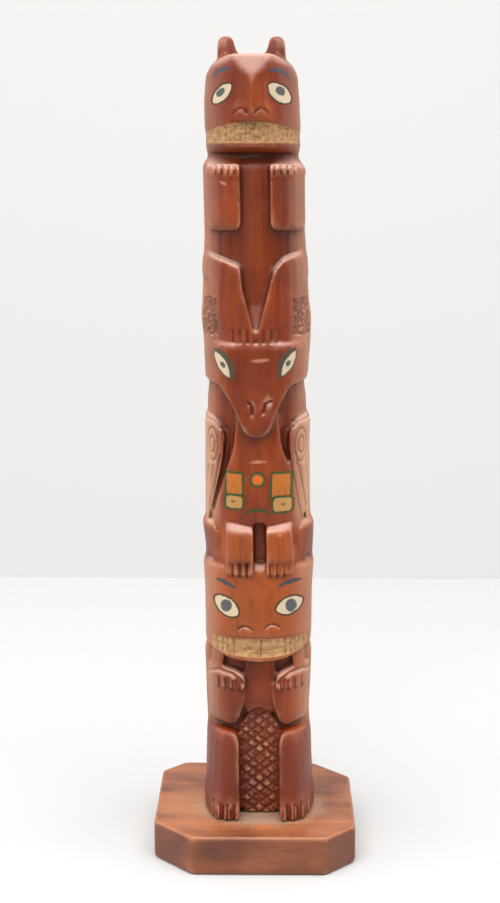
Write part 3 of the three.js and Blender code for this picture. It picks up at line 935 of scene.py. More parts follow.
@dataclass
class BeaverCuts:
    """Knife work on the beaver."""

    toe_ends: Place = (7.4, 20.6)
    toe_shift: float = 0.4
    toe_span: Place = (0.2, 6.4)
    paws: tuple[Place, ...] = ((-17.6, -4.4), (6.0, 19.0))
    claw_span: Place = (49.9, 54.0)
    mitts: tuple[tuple[Place, ...], ...] = (
        ((-18.6, 55.4), (-15.4, 57.2), (-10.4, 57.0), (-7.4, 55.4), (-5.8, 53.8)),
        ((7.6, 53.8), (9.2, 55.4), (12.0, 57.0), (16.8, 57.2), (20.0, 55.4)),
    )
    nostrils: tuple[Place, ...] = ((-4.6, 74.6), (5.4, 75.4))
    nostril_half: float = 2.6
    nostril_rise: float = 1.4
    incisors: tuple[float, ...] = (-9.2, 1.1, 10.3)
    side_teeth: tuple[float, ...] = (-15.2, -13.4, -11.4, 12.2, 13.8, 15.6, 17.2)
    teeth_span: Place = (64.4, 70.5)
    teeth_rise: float = 0.005
    teeth_waver: float = 0.3
    bite_ends: Place = (-16.6, 17.6)
    bite_points: int = 12
    bite_drop: float = 0.4
    hatch_rise: float = math.tan(0.64)
    hatch_fall: float = -math.tan(0.68)
    hatch_start: float = 0.4
    hatch_spacing: float = 3.9
    hatch_rows: int = 12
    hatch_waver: float = 0.45
    tail_left: float = -6.6
    tail_right: float = 7.2
    tail_foot: float = 0.6
    tail_top: float = 41.0
    tail_middle: float = 0.4
    tail_fall: float = 0.11

    def claws(self, survey: Surveyor) -> Lines:
        """Upright cuts between toes and between fingers.

        Args:
            survey: Lays the lines.

        Returns:
            The laid lines.
        """
        inner, outer = self.toe_ends
        feet = [(side.value * inner, side.value * outer) for side in Side]
        toes = survey.upright([x + self.toe_shift for x in fingers(feet)], self.toe_span)
        return toes + survey.upright(fingers(self.paws), self.claw_span)

    def paw_tops(self, survey: Surveyor) -> Lines:
        """Cuts that set the paws off from the arms, laid on the wood."""
        return survey.lay_all(self.mitts)

    def noses(self, survey: Surveyor) -> Lines:
        """Arched cuts over the nostrils, laid on the wood."""
        return survey.nostrils(self.nostrils, self.nostril_half, self.nostril_rise)

    def teeth(self, survey: Surveyor) -> Lines:
        """Cuts between the teeth.

        Args:
            survey: Lays the lines.

        Returns:
            The laid lines.
        """
        bottom, top = self.teeth_span
        lines = []
        for x in self.incisors + self.side_teeth:
            low = bottom + self.teeth_rise * x * x
            head = x + survey.hand.uniform(-self.teeth_waver, self.teeth_waver)
            lines.append(survey.lay([(x, low), (head, top)]))
        return lines

    def bite(self, survey: Surveyor) -> Lines:
        """The line where upper and lower teeth meet, laid on the wood."""
        middle = sum(self.teeth_span) / 2 - self.bite_drop
        places = np.linspace(*self.bite_ends, self.bite_points)
        return [survey.lay([(x, middle + self.teeth_rise * x * x) for x in places])]

    def hatching(self, survey: Surveyor) -> Lines:
        """Two families of slanting cuts over the tail.

        Args:
            survey: Lays the lines.

        Returns:
            The laid lines.
        """
        lines = []
        for slant in (self.hatch_rise, self.hatch_fall):
            for row in range(self.hatch_rows):
                middle = self.hatch_start + row * self.hatch_spacing
                ends = []
                for x in (self.tail_left, self.tail_right):
                    waver = survey.hand.uniform(-self.hatch_waver, self.hatch_waver)
                    ends.append((x, middle + x * slant + waver))
                path = self._trimmed(ends)
                if path:
                    lines.append(survey.lay(path))
        return lines

    def _trimmed(self, ends: Sequence[Place]) -> list[Place]:
        """Cut a straight line off at the tail's foot and rounded top.

        Args:
            ends: Its two ends.

        Returns:
            What lies on the tail, or nothing.
        """
        (x0, z0), (x1, z1) = ends
        steps = 24
        kept = []
        for k in range(steps + 1):
            share = k / steps
            x, z = x0 + (x1 - x0) * share, z0 + (z1 - z0) * share
            ceiling = self.tail_top - self.tail_fall * (x - self.tail_middle) ** 2
            if self.tail_foot < z < ceiling:
                kept.append((x, z))
        return kept if len(kept) > 2 else []


# ---------------------------------------------------------------------------
# Shader groups
# ---------------------------------------------------------------------------


SHAPE_INPUTS = ("Across", "Up", "Middle Across", "Middle Up", "Tilt", "Half Length", "Half Height")


def ports(*names: str) -> list[Port]:
    """Return plain number sockets by name."""
    return [Port(name) for name in names]


class FinishGroups:
    """Shader groups that the finishes share."""

    def __init__(self, axis: CentreLine) -> None:
        """Build each group once, for one pole."""
        self.axis = axis
        self.place = self._place_group()
        self.grain = self._grain_group()
        self.eye = self._eye_group()
        self.stroke = self._stroke_group()
        self.panel = self._panel_group()
        self.band = self._band_group()
        self.spot = self._spot_group()
        self.age = self._wear_and_light_group()

    def use(self, bench: TreeBench, tree: Tree, feeds: Mapping[str, Value]) -> Any:
        """Place a group in a material and return its outputs."""
        node = bench.put("ShaderNodeGroup", node_tree=tree)
        bench.feed_all(node.inputs, feeds)
        return node.outputs

    @staticmethod
    def _open(name: str, takes: Iterable[Port], *gives: str) -> tuple[TreeBench, Any, Any]:
        """Start a group whose outputs are plain numbers.

        Args:
            name: The group's name.
            takes: Its inputs.
            *gives: Names of its outputs.

        Returns:
            The bench, what the group is given and the sockets that it fills.
        """
        bench, source, out = new_tree(name, "ShaderNodeTree", takes, ports(*gives))
        return bench, source.outputs, out.inputs

    @staticmethod
    def _turned(bench: TreeBench, given: Any) -> tuple[Value, Value]:
        """Coordinates along and over a shape that has a middle and a tilt.

        Args:
            bench: The group's bench.
            given: What the group is given.

        Returns:
            The coordinate along the shape and the one over it.
        """
        dx = bench.calc("SUBTRACT", given["Across"], given["Middle Across"])
        dz = bench.calc("SUBTRACT", given["Up"], given["Middle Up"])
        cosine, sine = (bench.calc(name, given["Tilt"]) for name in ("COSINE", "SINE"))
        along = bench.calc("ADD", bench.product(dx, cosine), bench.product(dz, sine))
        over = bench.calc("SUBTRACT", bench.product(dz, cosine), bench.product(dx, sine))
        return along, over

    def _place_group(self) -> Tree:
        """Millimetres in the pole's own frame, and depth below the uncut stick.

        Returns:
            The group.
        """
        takes = [
            Port("Point", kind="NodeSocketVector"),
            Port("Foot", self.axis.foot),
            Port("Offset", self.axis.offset),
            Port("Lean", self.axis.lean),
            Port("Foot Radius", self.axis.foot_radius),
            Port("Taper", self.axis.taper),
        ]
        bench, given, fills = self._open(
            "PolePlace", takes, "Across", "Up", "Front", "Foreside", "Depth"
        )
        parts = bench.put("ShaderNodeSeparateXYZ", {0: given["Point"]}).outputs
        x, y, z = (bench.calc("MULTIPLY", part, 1 / MM) for part in parts)
        up = bench.calc("SUBTRACT", z, given["Foot"])
        beside = bench.calc("SUBTRACT", x, given["Offset"])
        across = bench.calc("SUBTRACT", beside, bench.product(up, given["Lean"]))
        thinner = bench.product(up, given["Taper"])
        girth = bench.calc("SUBTRACT", given["Foot Radius"], thinner)
        ahead = bench.calc("MULTIPLY", y, -1.0)
        filled = {
            "Across": across,
            "Up": up,
            "Front": bench.above(ahead, 2.0, 2.0),
            "Foreside": bench.above(ahead, -12.0, 17.0),
            "Depth": bench.calc("SUBTRACT", girth, bench.distance(across, y)),
        }
        bench.feed_all(fills, filled)
        return bench.tree

    def _grain_group(self) -> Tree:
        """Long wood fibres: slow figure, fine streaks and pores.

        Returns:
            The group.
        """
        point_port = Port("Along Point", kind="NodeSocketVector")
        takes = [point_port, Port("Figure", 90.0), Port("Fibres", 900.0)]
        bench, given, fills = self._open("WoodGrain", takes, "Tone", "Streak", "Height")
        point = given["Along Point"]
        sway = bench.centred(bench.noise(point, 30.0, 2.0))
        drift = bench.calc("MULTIPLY", sway, 0.006)
        offset = bench.put("ShaderNodeCombineXYZ", {0: drift, 1: drift}).outputs[0]
        bent = bench.put("ShaderNodeVectorMath", {0: point, 1: offset}, operation="ADD").outputs[0]
        long, longer, short = (bench.stretched(bent, (1.0, 1.0, z)) for z in (0.07, 0.03, 0.1))
        tone = bench.noise(long, given["Figure"], 5.0, 0.6)
        streak = bench.noise(longer, given["Fibres"], 3.0, 0.6)
        pores = bench.noise(short, 2600.0, 2.0)
        height = bench.calc("ADD", bench.product(streak, 0.7), bench.product(pores, 0.3))
        filled = {
            "Tone": bench.contrast(tone, 2.2, -0.6),
            "Streak": bench.contrast(streak, 2.4, -0.7),
            "Height": height,
        }
        bench.feed_all(fills, filled)
        return bench.tree

    def _eye_group(self) -> Tree:
        """Painted eye: dark outline, white and iris, as masks.

        Returns:
            The group.
        """
        iris_inputs = ("Iris Along", "Iris Over", "Iris Half Length", "Iris Half Height")
        takes = ports(*SHAPE_INPUTS, "Point", "Line", "Lid", *iris_inputs)
        bench, given, fills = self._open("PaintedEye", takes, "Outline", "White", "Iris")
        along, over = self._turned(bench, given)

        def lens(inset: Value, shift: Value) -> Socket:
            """Mask of the eye's shape, drawn in by an inset and moved over by a shift."""
            length = bench.calc("SUBTRACT", given["Half Length"], inset)
            height = bench.calc("SUBTRACT", given["Half Height"], inset)
            share = bench.calc("DIVIDE", along, length)
            rest = bench.calc("SUBTRACT", 1.0, bench.product(share, share), clamp=True)
            edge = bench.product(height, bench.calc("POWER", rest, given["Point"]))
            off = bench.calc("ABSOLUTE", bench.calc("SUBTRACT", over, shift))
            return bench.above(edge, off, PAINT_EDGE)

        outline = lens(0.0, 0.0)
        off_along = bench.calc("SUBTRACT", along, given["Iris Along"])
        off_over = bench.calc("SUBTRACT", over, given["Iris Over"])
        wide = bench.calc("DIVIDE", off_along, given["Iris Half Length"])
        high = bench.calc("DIVIDE", off_over, given["Iris Half Height"])
        iris = bench.above(1.1, bench.distance(wide, high), 0.2)
        filled = {
            "Outline": outline,
            "White": bench.product(outline, lens(given["Line"], given["Lid"])),
            "Iris": bench.product(iris, outline),
        }
        bench.feed_all(fills, filled)
        return bench.tree

    def _stroke_group(self) -> Tree:
        """One brush stroke with a bend, as a mask.

        Returns:
            The group.
        """
        bench, given, fills = self._open("BrushStroke", ports(*SHAPE_INPUTS, "Bend"), "Mask")
        along, over = self._turned(bench, given)
        share = bench.calc("DIVIDE", along, given["Half Length"])
        rest = bench.calc("SUBTRACT", 1.0, bench.product(share, share), clamp=True)
        bent = bench.calc("SUBTRACT", over, bench.product(given["Bend"], rest))
        width = bench.product(given["Half Height"], bench.calc("POWER", rest, 0.4))
        mask = bench.above(width, bench.calc("ABSOLUTE", bent), PAINT_EDGE)
        bench.feed(fills["Mask"], mask)
        return bench.tree

    def _panel_group(self) -> Tree:
        """Rounded panel with a painted outline, as two masks.

        Returns:
            The group.
        """
        takes = ports(*SHAPE_INPUTS, "Corner", "Line")
        bench, given, fills = self._open("PaintedPanel", takes, "Line", "Fill")
        along, over = self._turned(bench, given)
        sides = []
        for coordinate, half in ((along, given["Half Length"]), (over, given["Half Height"])):
            past = bench.calc("SUBTRACT", bench.calc("ABSOLUTE", coordinate), half)
            sides.append(bench.calc("ADD", past, given["Corner"]))
        corner = bench.distance(*[bench.calc("MAXIMUM", side, 0.0) for side in sides])
        inner = bench.calc("MINIMUM", bench.calc("MAXIMUM", *sides), 0.0)
        distance = bench.calc("SUBTRACT", bench.calc("ADD", corner, inner), given["Corner"])
        half_line = bench.calc("MULTIPLY", given["Line"], 0.5)
        line = bench.above(half_line, bench.calc("ABSOLUTE", distance), PAINT_EDGE)
        bench.feed_all(fills, {"Line": line, "Fill": bench.above(0.0, distance, PAINT_EDGE)})
        return bench.tree

    def _band_group(self) -> Tree:
        """Band across the front with bowed lower and upper ends, as a mask.

        Returns:
            The group.
        """
        names = ("Middle Across", "Half Width", "Low", "Low Rise", "High", "High Fall", "Softness")
        bench, given, fills = self._open("FrontBand", ports("Across", "Up", *names), "Mask")
        off = bench.calc("SUBTRACT", given["Across"], given["Middle Across"])
        square = bench.product(off, off)
        low = bench.calc("ADD", given["Low"], bench.product(square, given["Low Rise"]))
        high = bench.calc("SUBTRACT", given["High"], bench.product(square, given["High Fall"]))
        soft = given["Softness"]
        level = bench.between(given["Up"], (low, high), soft, soft)
        sides = bench.above(given["Half Width"], bench.calc("ABSOLUTE", off), soft)
        bench.feed(fills["Mask"], bench.product(level, sides))
        return bench.tree

    def _spot_group(self) -> Tree:
        """Ragged oval spot, such as a scuff or a bald patch, as a mask.

        Returns:
            The group.
        """
        point_port = Port("Point", kind="NodeSocketVector")
        takes = [point_port, *ports(*SHAPE_INPUTS, "Raggedness", "Softness")]
        bench, given, fills = self._open("WornSpot", takes, "Mask")
        along, over = self._turned(bench, given)
        wide = bench.calc("DIVIDE", along, given["Half Length"])
        high = bench.calc("DIVIDE", over, given["Half Height"])
        ragged = bench.centred(bench.noise(given["Point"], 700.0, 4.0, 0.6))
        bite = bench.product(ragged, given["Raggedness"])
        wavy = bench.calc("ADD", bench.distance(wide, high), bite)
        bench.feed(fills["Mask"], bench.above(1.0, wavy, given["Softness"]))
        return bench.tree

    def _wear_and_light_group(self) -> Tree:
        """Rubbed edges, which are wear and a painted highlight, and painted shade in the creases,
        as masks.

        Returns:
            The group.
        """
        point_port = Port("Point", kind="NodeSocketVector")
        takes = [point_port, *ports("Edge", "Crease"), Port("Patchiness", 0.5)]
        bench, given, fills = self._open("AgeMarks", takes, "Rubbed", "Grime", "Blotch")
        patches = bench.centred(bench.noise(given["Point"], 160.0, 3.0, 0.6))
        uneven = bench.calc("MULTIPLY", patches, given["Patchiness"])
        # Convex edges are lightened: wear, and a painted highlight along them.
        rubbed = bench.contrast(bench.calc("ADD", given["Edge"], uneven), 1.6, -0.5)
        # Creases and knife cuts are darkened: painted shade.
        grime = bench.contrast(bench.calc("ADD", given["Crease"], uneven), 1.5, -0.25)
        blotch = bench.noise(given["Point"], 45.0, 3.0, 0.55)
        filled = {
            "Rubbed": bench.product(rubbed, given["Edge"]),
            "Grime": bench.product(grime, given["Crease"]),
            "Blotch": bench.contrast(blotch, 2.4, -0.7),
        }
        bench.feed_all(fills, filled)
        return bench.tree


# ---------------------------------------------------------------------------
# Finishes
# ---------------------------------------------------------------------------


@dataclass(frozen=True)
class Varnish:
    """Satin varnish: fixed values on the shader's own sockets."""

    roughness_spread: tuple[float, float] = (0.38, 0.58)
    coat: float = 0.14
    coat_roughness: float = 0.34
    specular: float = 0.3
    paint_roughness: float = 0.62
    relief: float = 0.35


@dataclass(frozen=True)
class Stains:
    """Colours of the stained wood, and of the painted shade, sheen and highlights on it."""

    deep: Colour = stain(88, 30, 8)
    middle: Colour = stain(126, 48, 10)
    light: Colour = stain(150, 72, 20)
    # Painted shade for creases, knife cuts and the hollow under the jaw.
    grime: Colour = stain(54, 20, 8)
    # Edges rubbed pale: wear, and a painted highlight.
    rubbed: Colour = stain(192, 140, 108)
    pale_face: Colour = stain(160, 82, 32)
    dark_legs: Colour = stain(96, 32, 10)
    # Painted sheen on the sides that turn away from the front.
    side_sheen: Colour = stain(170, 118, 84)
    # Painted highlight on upward-facing ledges and on the bear's crown.
    dust: Colour = stain(194, 160, 146)
    # Painted sheen on the wings.
    wing_sheen: Colour = stain(198, 160, 128)


@dataclass(frozen=True)
class BoardStains:
    """Colours of the stained board, and of the painted shade in its creases."""

    deep: Colour = stain(84, 38, 16)
    middle: Colour = stain(122, 62, 30)
    light: Colour = stain(166, 104, 60)
    pale: Colour = stain(156, 130, 108)
    # Painted shade for the board's creases.
    grime: Colour = stain(56, 26, 14)
    orange: Colour = stain(168, 92, 40)


@dataclass(frozen=True)
class PaintBox:
    """Colours of the paint."""

    cream: Colour = stain(196, 178, 150)
    tooth: Colour = stain(184, 144, 98)
    tooth_shade: Colour = stain(112, 72, 40)
    outline: Colour = stain(56, 44, 32)
    green_grey: Colour = stain(62, 64, 52)
    slate: Colour = stain(62, 66, 72)
    brow: Colour = stain(54, 60, 68)
    leaf_green: Colour = stain(44, 66, 30)
    ochre: Colour = stain(178, 104, 36)
    yellow: Colour = stain(184, 142, 82)
    orange: Colour = stain(206, 92, 22)
    brown: Colour = stain(104, 52, 22)


@dataclass(frozen=True)
class Mark:
    """Something laid on a face: middle and half size in millimetres, tilt in degrees."""

    middle: Place
    half: Place
    tilt: float

    def sizes(self) -> dict[str, Value]:
        """Return its sizes by the names of its group's inputs."""
        return {
            "Middle Across": self.middle[0],
            "Middle Up": self.middle[1],
            "Tilt": math.radians(self.tilt),
            "Half Length": self.half[0],
            "Half Height": self.half[1],
        }


@dataclass(frozen=True)
class Eye(Mark):
    """One painted eye."""

    point: float
    line: float
    iris: Place
    iris_half: Place
    lid: float = 0.0
    tint: str = "outline"

    def sizes(self) -> dict[str, Value]:
        """Return its sizes by the names of the eye group's inputs."""
        return {
            **super().sizes(),
            "Point": self.point,
            "Line": self.line,
            "Lid": self.lid,
            "Iris Along": self.iris[0],
            "Iris Over": self.iris[1],
            "Iris Half Length": self.iris_half[0],
            "Iris Half Height": self.iris_half[1],
        }


@dataclass(frozen=True)
class Stroke(Mark):
    """One brush stroke."""

    bend: float = 0.0

    def sizes(self) -> dict[str, Value]:
        """Return its sizes by the names of the stroke group's inputs."""
        return {**super().sizes(), "Bend": self.bend}


@dataclass(frozen=True)
class Panel(Mark):
    """One outlined panel on the belly."""

    corner: float
    fill: str
    line: float = 1.25

    def sizes(self) -> dict[str, Value]:
        """Return its sizes by the names of the panel group's inputs."""
        return {**super().sizes(), "Corner": self.corner, "Line": self.line}


@dataclass(frozen=True)
class Spot(Mark):
    """One worn spot."""
    # One spot, of wear, painted highlight or painted shade.

    raggedness: float = 1.2
    softness: float = 0.6
    tint: str = "rubbed"
    share: float = 0.6

    def sizes(self) -> dict[str, Value]:
        """Return its sizes by the names of the spot group's inputs."""
        edges = {"Raggedness": self.raggedness, "Softness": self.softness}
        return {**super().sizes(), **edges}


@dataclass(frozen=True)
class ToothBand:
    """One painted row of teeth, in millimetres."""

    middle: float
    half: float
    low: float
    low_rise: float
    high: float
    high_fall: float

    def sizes(self) -> dict[str, Value]:
        """Return its sizes by the names of the band group's inputs."""
        return {
            "Middle Across": self.middle,
            "Half Width": self.half,
            "Low": self.low,
            "Low Rise": self.low_rise,
            "High": self.high,
            "High Fall": self.high_fall,
            "Softness": TOOTH_EDGE,
        }


@dataclass(frozen=True)
class Zone:
    """A stretch of the pole with a stain of its own, and how far round it reaches."""

    span: Place
    tint: str
    share: float
    reach: str = ""


@dataclass(frozen=True)
class PaintScheme:
    """Everything that is painted on the pole."""

    eyes: tuple[Eye, ...] = (
        Eye((-10.5, 268.2), (5.1, 2.9), 44, 0.6, 0.7, (-0.1, 0.6), (1.9, 1.15)),
        Eye((9.8, 268.3), (5.3, 3.5), -38, 0.6, 0.7, (-0.3, 0.8), (1.8, 1.45)),
        Eye((-11.1, 173.6), (6.5, 3.0), -60, 0.8, 1.2, (0.2, -0.5), (1.2, 0.8), -0.7, "green_grey"),
        Eye((11.6, 174.0), (6.3, 2.9), 60, 0.8, 1.2, (0.0, -0.5), (1.2, 0.8), -0.7, "green_grey"),
        Eye((-11.5, 82.9), (5.7, 4.0), -30, 0.6, 0.75, (-0.2, 0.1), (2.0, 2.5)),
        Eye((11.9, 83.3), (5.7, 3.9), 12, 0.6, 0.75, (0.5, -0.2), (2.1, 2.5)),
    )
    brows: tuple[Stroke, ...] = (
        Stroke((-10.2, 274.9), (3.9, 0.85), 20, 1.5),
        Stroke((9.4, 274.5), (4.2, 0.85), -16, 1.6),
        Stroke((-11.7, 91.2), (4.1, 0.95), -16, 0.5),
        Stroke((12.3, 91.4), (4.6, 0.95), 10, 0.8),
    )
    panels: tuple[Panel, ...] = (
        Panel((-8.0, 129.2), (3.2, 4.2), 0.0, 0.5, "ochre"),
        Panel((-8.1, 122.4), (3.4, 2.7), 0.0, 1.6, "yellow"),
        Panel((9.2, 128.6), (3.8, 4.7), -3.0, 0.5, "ochre"),
        Panel((9.6, 121.4), (3.8, 3.0), -2.0, 1.6, "yellow"),
        Panel((0.6, 130.9), (2.5, 2.5), 0.0, 2.5, "ochre"),
    )
    belly_line: Stroke = Stroke((0.3, 117.5), (5.8, 0.75), 2, 2.2)
    belly_dot: Stroke = Stroke((0.6, 130.9), (1.4, 1.35), 0)
    belly_strokes: tuple[Stroke, ...] = (
        Stroke((-9.1, 127.6), (2.4, 0.3), 72),
        Stroke((-7.5, 127.6), (2.3, 0.3), -70),
        Stroke((8.5, 126.8), (2.4, 0.3), 68),
        Stroke((10.3, 126.8), (2.3, 0.3), -72),
        Stroke((-8.5, 122.6), (0.9, 0.7), 0),
        Stroke((9.8, 121.4), (0.9, 0.7), 0),
    )
    teeth: tuple[ToothBand, ...] = (
        ToothBand(0.0, 16.4, 251.0, 0.0, 258.7, 0.0112),
        ToothBand(0.4, 18.0, 63.9, 0.005, 71.6, 0.0035),
    )
    scuffs_and_painted_light: tuple[Spot, ...] = (
        # Pale spots on the winged forehead and under its snout: scuffs with a painted glint.
        Spot((1.9, 174.9), (4.2, 0.85), 4),
        Spot((0.6, 137.5), (3.6, 0.8), 2),
        # Painted highlight on the bear's crown.
        Spot((0.2, 279.5), (6.6, 5.2), 0, 0.5, 0.5, "dust", 0.2),
        # Painted shade under the bear's jaw.
        Spot((0.9, 246.2), (9.5, 3.4), 0, 0.5, 0.9, "grime", 0.7),
        # Painted shade in the gap between the winged creature's feet.
        Spot((0.9, 106.0), (1.9, 7.5), 0, 0.4, 0.9, "deep", 0.4),
        Spot((-10.4, 237.3), (1.6, 0.7), -20),
        Spot((8.4, 110.4), (0.9, 0.5), 0),
    )


@dataclass(frozen=True)
class PoleZones:
    """Places on the pole where its stain, painted sheen and painted highlight change, in
    millimetres.
    """

    stained: tuple[Zone, ...] = (
        Zone((61.0, 99.0), "pale_face", 0.6),
        Zone((100.0, 113.0), "pale_face", 0.6, "Front"),
        Zone((-1.0, 34.0), "dark_legs", 0.8, "Foreside"),
    )
    haunch: Place = (97.0, 113.0)
    wings: Place = (113.0, 155.0)
    legs_top: float = 33.0
    # Height from which ledges get a painted highlight.
    highlight_from: float = 36.0
    # Distance across from which the sides get a painted sheen.
    sheen_from: float = 12.5


class WoodFinish:
    """What both woods share: a material, spots of wear and of painted light, and varnish over the
    grain.
    """

    def __init__(self, groups: FinishGroups, stains: Any, varnish: Varnish) -> None:
        """Take the shared groups, the colours and the varnish."""
        self.groups = groups
        self.stains = stains
        self.varnish = varnish

    @staticmethod
    def _start(name: str) -> tuple[bpy.types.Material, TreeBench, Any, Socket]:
        """Start a material.

        Args:
            name: The material's name.

        Returns:
            The material, its bench, the shader's inputs and the object coordinates.
        """
        material = bpy.data.materials.new(name)
        material.use_nodes = True
        bench = TreeBench(material.node_tree)
        shader = material.node_tree.nodes["Principled BSDF"]
        point = bench.put("ShaderNodeTexCoord").outputs["Object"]
        return material, bench, shader.inputs, point

    def _lay_spots(
        self, bench: TreeBench, under: Value, place: Feeds, spots: Iterable[Spot], reach: Value
    ) -> Value:
        """Lay spots over everything: scuffs, painted highlights and painted shade.

        Args:
            bench: The material's bench.
            under: Colour below.
            place: Point, Across and Up.
            spots: The spots.
            reach: Mask of where they may show.

        Returns:
            The colour.
        """
        colour = under
        for spot in spots:
            feeds = {**place, **spot.sizes()}
            mask = self.groups.use(bench, self.groups.spot, feeds)["Mask"]
            shown = bench.product(mask, reach, spot.share)
            colour = bench.coat(shown, colour, getattr(self.stains, spot.tint))
        return colour

    def _satin(self, bench: TreeBench, shader: Any, grain: Any) -> Socket:
        """Lay the varnish over the grain.

        Args:
            bench: The material's bench.
            shader: The shader's inputs.
            grain: Outputs of the grain group.

        Returns:
            The varnish's roughness.
        """
        shader["Coat Roughness"].default_value = self.varnish.coat_roughness
        strength = self.varnish.relief
        feeds = {"Strength": strength, "Distance": GRAIN_DEPTH, "Height": grain["Height"]}
        bench.feed(shader["Normal"], bench.put("ShaderNodeBump", feeds).outputs[0])
        return bench.blend(grain["Streak"], *self.varnish.roughness_spread)


class CarvedWoodFinish(WoodFinish):
    """Stained, painted and varnished wood of the carved stick."""

    def __init__(self, groups: FinishGroups) -> None:
        """Take the shared groups and this finish's own colours."""
        super().__init__(groups, Stains(), Varnish())
        self.zones = PoleZones()
        self.paint = PaintBox()
        self.scheme = PaintScheme()

    def build(self) -> bpy.types.Material:
        """Build the material.

        Returns:
            The finished material.
        """
        material, bench, shader, point = self._start("carved_wood")
        place = self.groups.use(bench, self.groups.place, {"Point": point})
        grain = self.groups.use(bench, self.groups.grain, {"Along Point": point})
        age = self._age(bench, point)
        brush = self._brush_place(bench, point, place)

        teeth = self._teeth(bench, place)
        wood = self._wood(bench, place, grain, age)
        colour = self._tooth_colour(bench, point, wood, teeth, age)
        colour, painted = self._painted(bench, colour, brush, place["Front"])
        here = {"Point": point, "Across": place["Across"], "Up": place["Up"]}
        # Scuffs, painted glints, a painted highlight on the crown and painted shade under the jaw
        # and between the feet.
        colour = self._lay_spots(bench, colour, here, self.scheme.scuffs_and_painted_light, place["Front"])

        covered = bench.calc("MAXIMUM", painted, teeth)
        rough = self._satin(bench, shader, grain)
        shine = bench.calc("MULTIPLY", bench.inverse(covered), self.varnish.coat)
        bench.feed(shader["Base Color"], colour)
        bench.feed(shader["Roughness"], bench.blend(covered, rough, self.varnish.paint_roughness))
        bench.feed(shader["Coat Weight"], shine)
        shader["Specular IOR Level"].default_value = self.varnish.specular
        return material

    def _age(self, bench: TreeBench, point: Value) -> Any:
        """Read the stored form of the surface and turn it into rubbed edges and painted shade.

        Args:
            bench: The material's bench.
            point: Object coordinates.

        Returns:
            Outputs of the group of rubbed edges, painted shade and blotches, with the knife cuts
            counted as creases.
        """
        deep = bench.calc("MAXIMUM", bench.attribute("crease"), bench.attribute("cut"))
        feeds = {"Point": point, "Edge": bench.attribute("edge"), "Crease": deep}
        return self.groups.use(bench, self.groups.age, feeds)

    def _brush_place(self, bench: TreeBench, point: Value, place: Any) -> dict[str, Value]:
        """Give the brush a slightly unsteady hand.

        Args:
            bench: The material's bench.
            point: Object coordinates.
            place: Outputs of the place group.

        Returns:
            Across and Up, a little displaced.
        """
        shaken = {}
        for name, scale in (("Across", 520.0), ("Up", 560.0)):
            shake = bench.centred(bench.noise(point, scale, 2.0))
            shaken[name] = bench.calc("MULTIPLY_ADD", shake, 0.7, place[name])
        return shaken

    def _wood(self, bench: TreeBench, place: Any, grain: Any, age: Any) -> Value:
        """Colour of the stained wood, with painted shade in its hollows, creases and cuts, rubbed
        edges, and a painted sheen and highlights.

        Args:
            bench: The material's bench.
            place: Outputs of the place group.
            grain: Outputs of the grain group.
            age: Outputs of the group of rubbed edges, painted shade and blotches.

        Returns:
            The colour.
        """
        stains = self.stains
        blotch = bench.product(age["Blotch"], 0.4)
        tone = bench.calc("ADD", bench.product(grain["Tone"], 0.6), blotch)
        lightest = bench.product(bench.above(tone, 0.5, 0.5), 0.6)
        base = [(bench.above(tone, 0.15, 0.45), stains.middle), (lightest, stains.light)]
        colour = bench.coats(stains.deep, base)
        shallow = bench.above(4.5, place["Depth"], 3.0)
        for zone in self.zones.stained:
            reach = place[zone.reach] if zone.reach else 1.0
            level = bench.between(place["Up"], zone.span, 2.0, 2.0)
            mask = bench.product(level, shallow, zone.share, reach)
            grained = bench.blend(grain["Tone"], mask, bench.product(mask, 0.7))
            colour = bench.coat(grained, colour, getattr(stains, zone.tint))
        # Painted shade in the recesses cut below the stick's round.
        hollow = bench.product(bench.above(place["Depth"], 2.4, 4.0), place["Foreside"], 0.45)
        streaks = bench.product(bench.above(0.42, grain["Streak"], 0.3), 0.35)
        colour = bench.coats(colour, [(hollow, stains.deep), (streaks, stains.deep)])
        colour = self._side_sheen(bench, colour, place, age)
        layers = [
            (bench.product(bench.attribute("rough_ground"), 0.55), stains.deep),
            # Edges rubbed pale: wear, and a painted highlight.
            (bench.product(age["Rubbed"], 0.6), stains.rubbed),
            # Painted shade in creases and knife cuts.
            (bench.product(age["Grime"], 0.7), stains.grime),
            # Painted highlight on upward-facing ledges.
            (self._ledge_highlight(bench, place), stains.dust),
        ]
        return bench.coats(colour, layers)

    def _side_sheen(self, bench: TreeBench, under: Value, place: Any, age: Any) -> Value:
        """Darken the haunches and paint a pale sheen on the flanks and wings.

        Args:
            bench: The material's bench.
            under: Colour below.
            place: Outputs of the place group.
            age: Outputs of the group of rubbed edges, painted shade and blotches.

        Returns:
            The colour.
        """
        stains, zones = self.stains, self.zones
        off = bench.calc("ABSOLUTE", place["Across"])
        outer = bench.above(off, zones.sheen_from, 6.0)
        haunch = bench.between(place["Up"], zones.haunch, 2.0, 2.0)
        above_legs = bench.above(place["Up"], zones.legs_top, 4.0)
        clear = bench.product(above_legs, bench.inverse(haunch))
        # Mask of the painted sheen on the sides that turn away from the front.
        thin = bench.product(outer, bench.above(4.0, place["Depth"], 2.0), place["Foreside"], clear)
        wings = bench.between(place["Up"], zones.wings, 4.0, 3.0)
        painted_light = bench.blend(age["Blotch"], bench.product(thin, 0.4), bench.product(thin, 0.75))
        layers = [
            (bench.product(haunch, outer, place["Foreside"], 0.6), stains.deep),
            # Painted sheen on the sides, patchy through the blotches, and a paler painted sheen on
            # the wings.
            (painted_light, stains.side_sheen),
            (bench.product(thin, wings, 0.5), stains.wing_sheen),
        ]
        return bench.coats(under, layers)

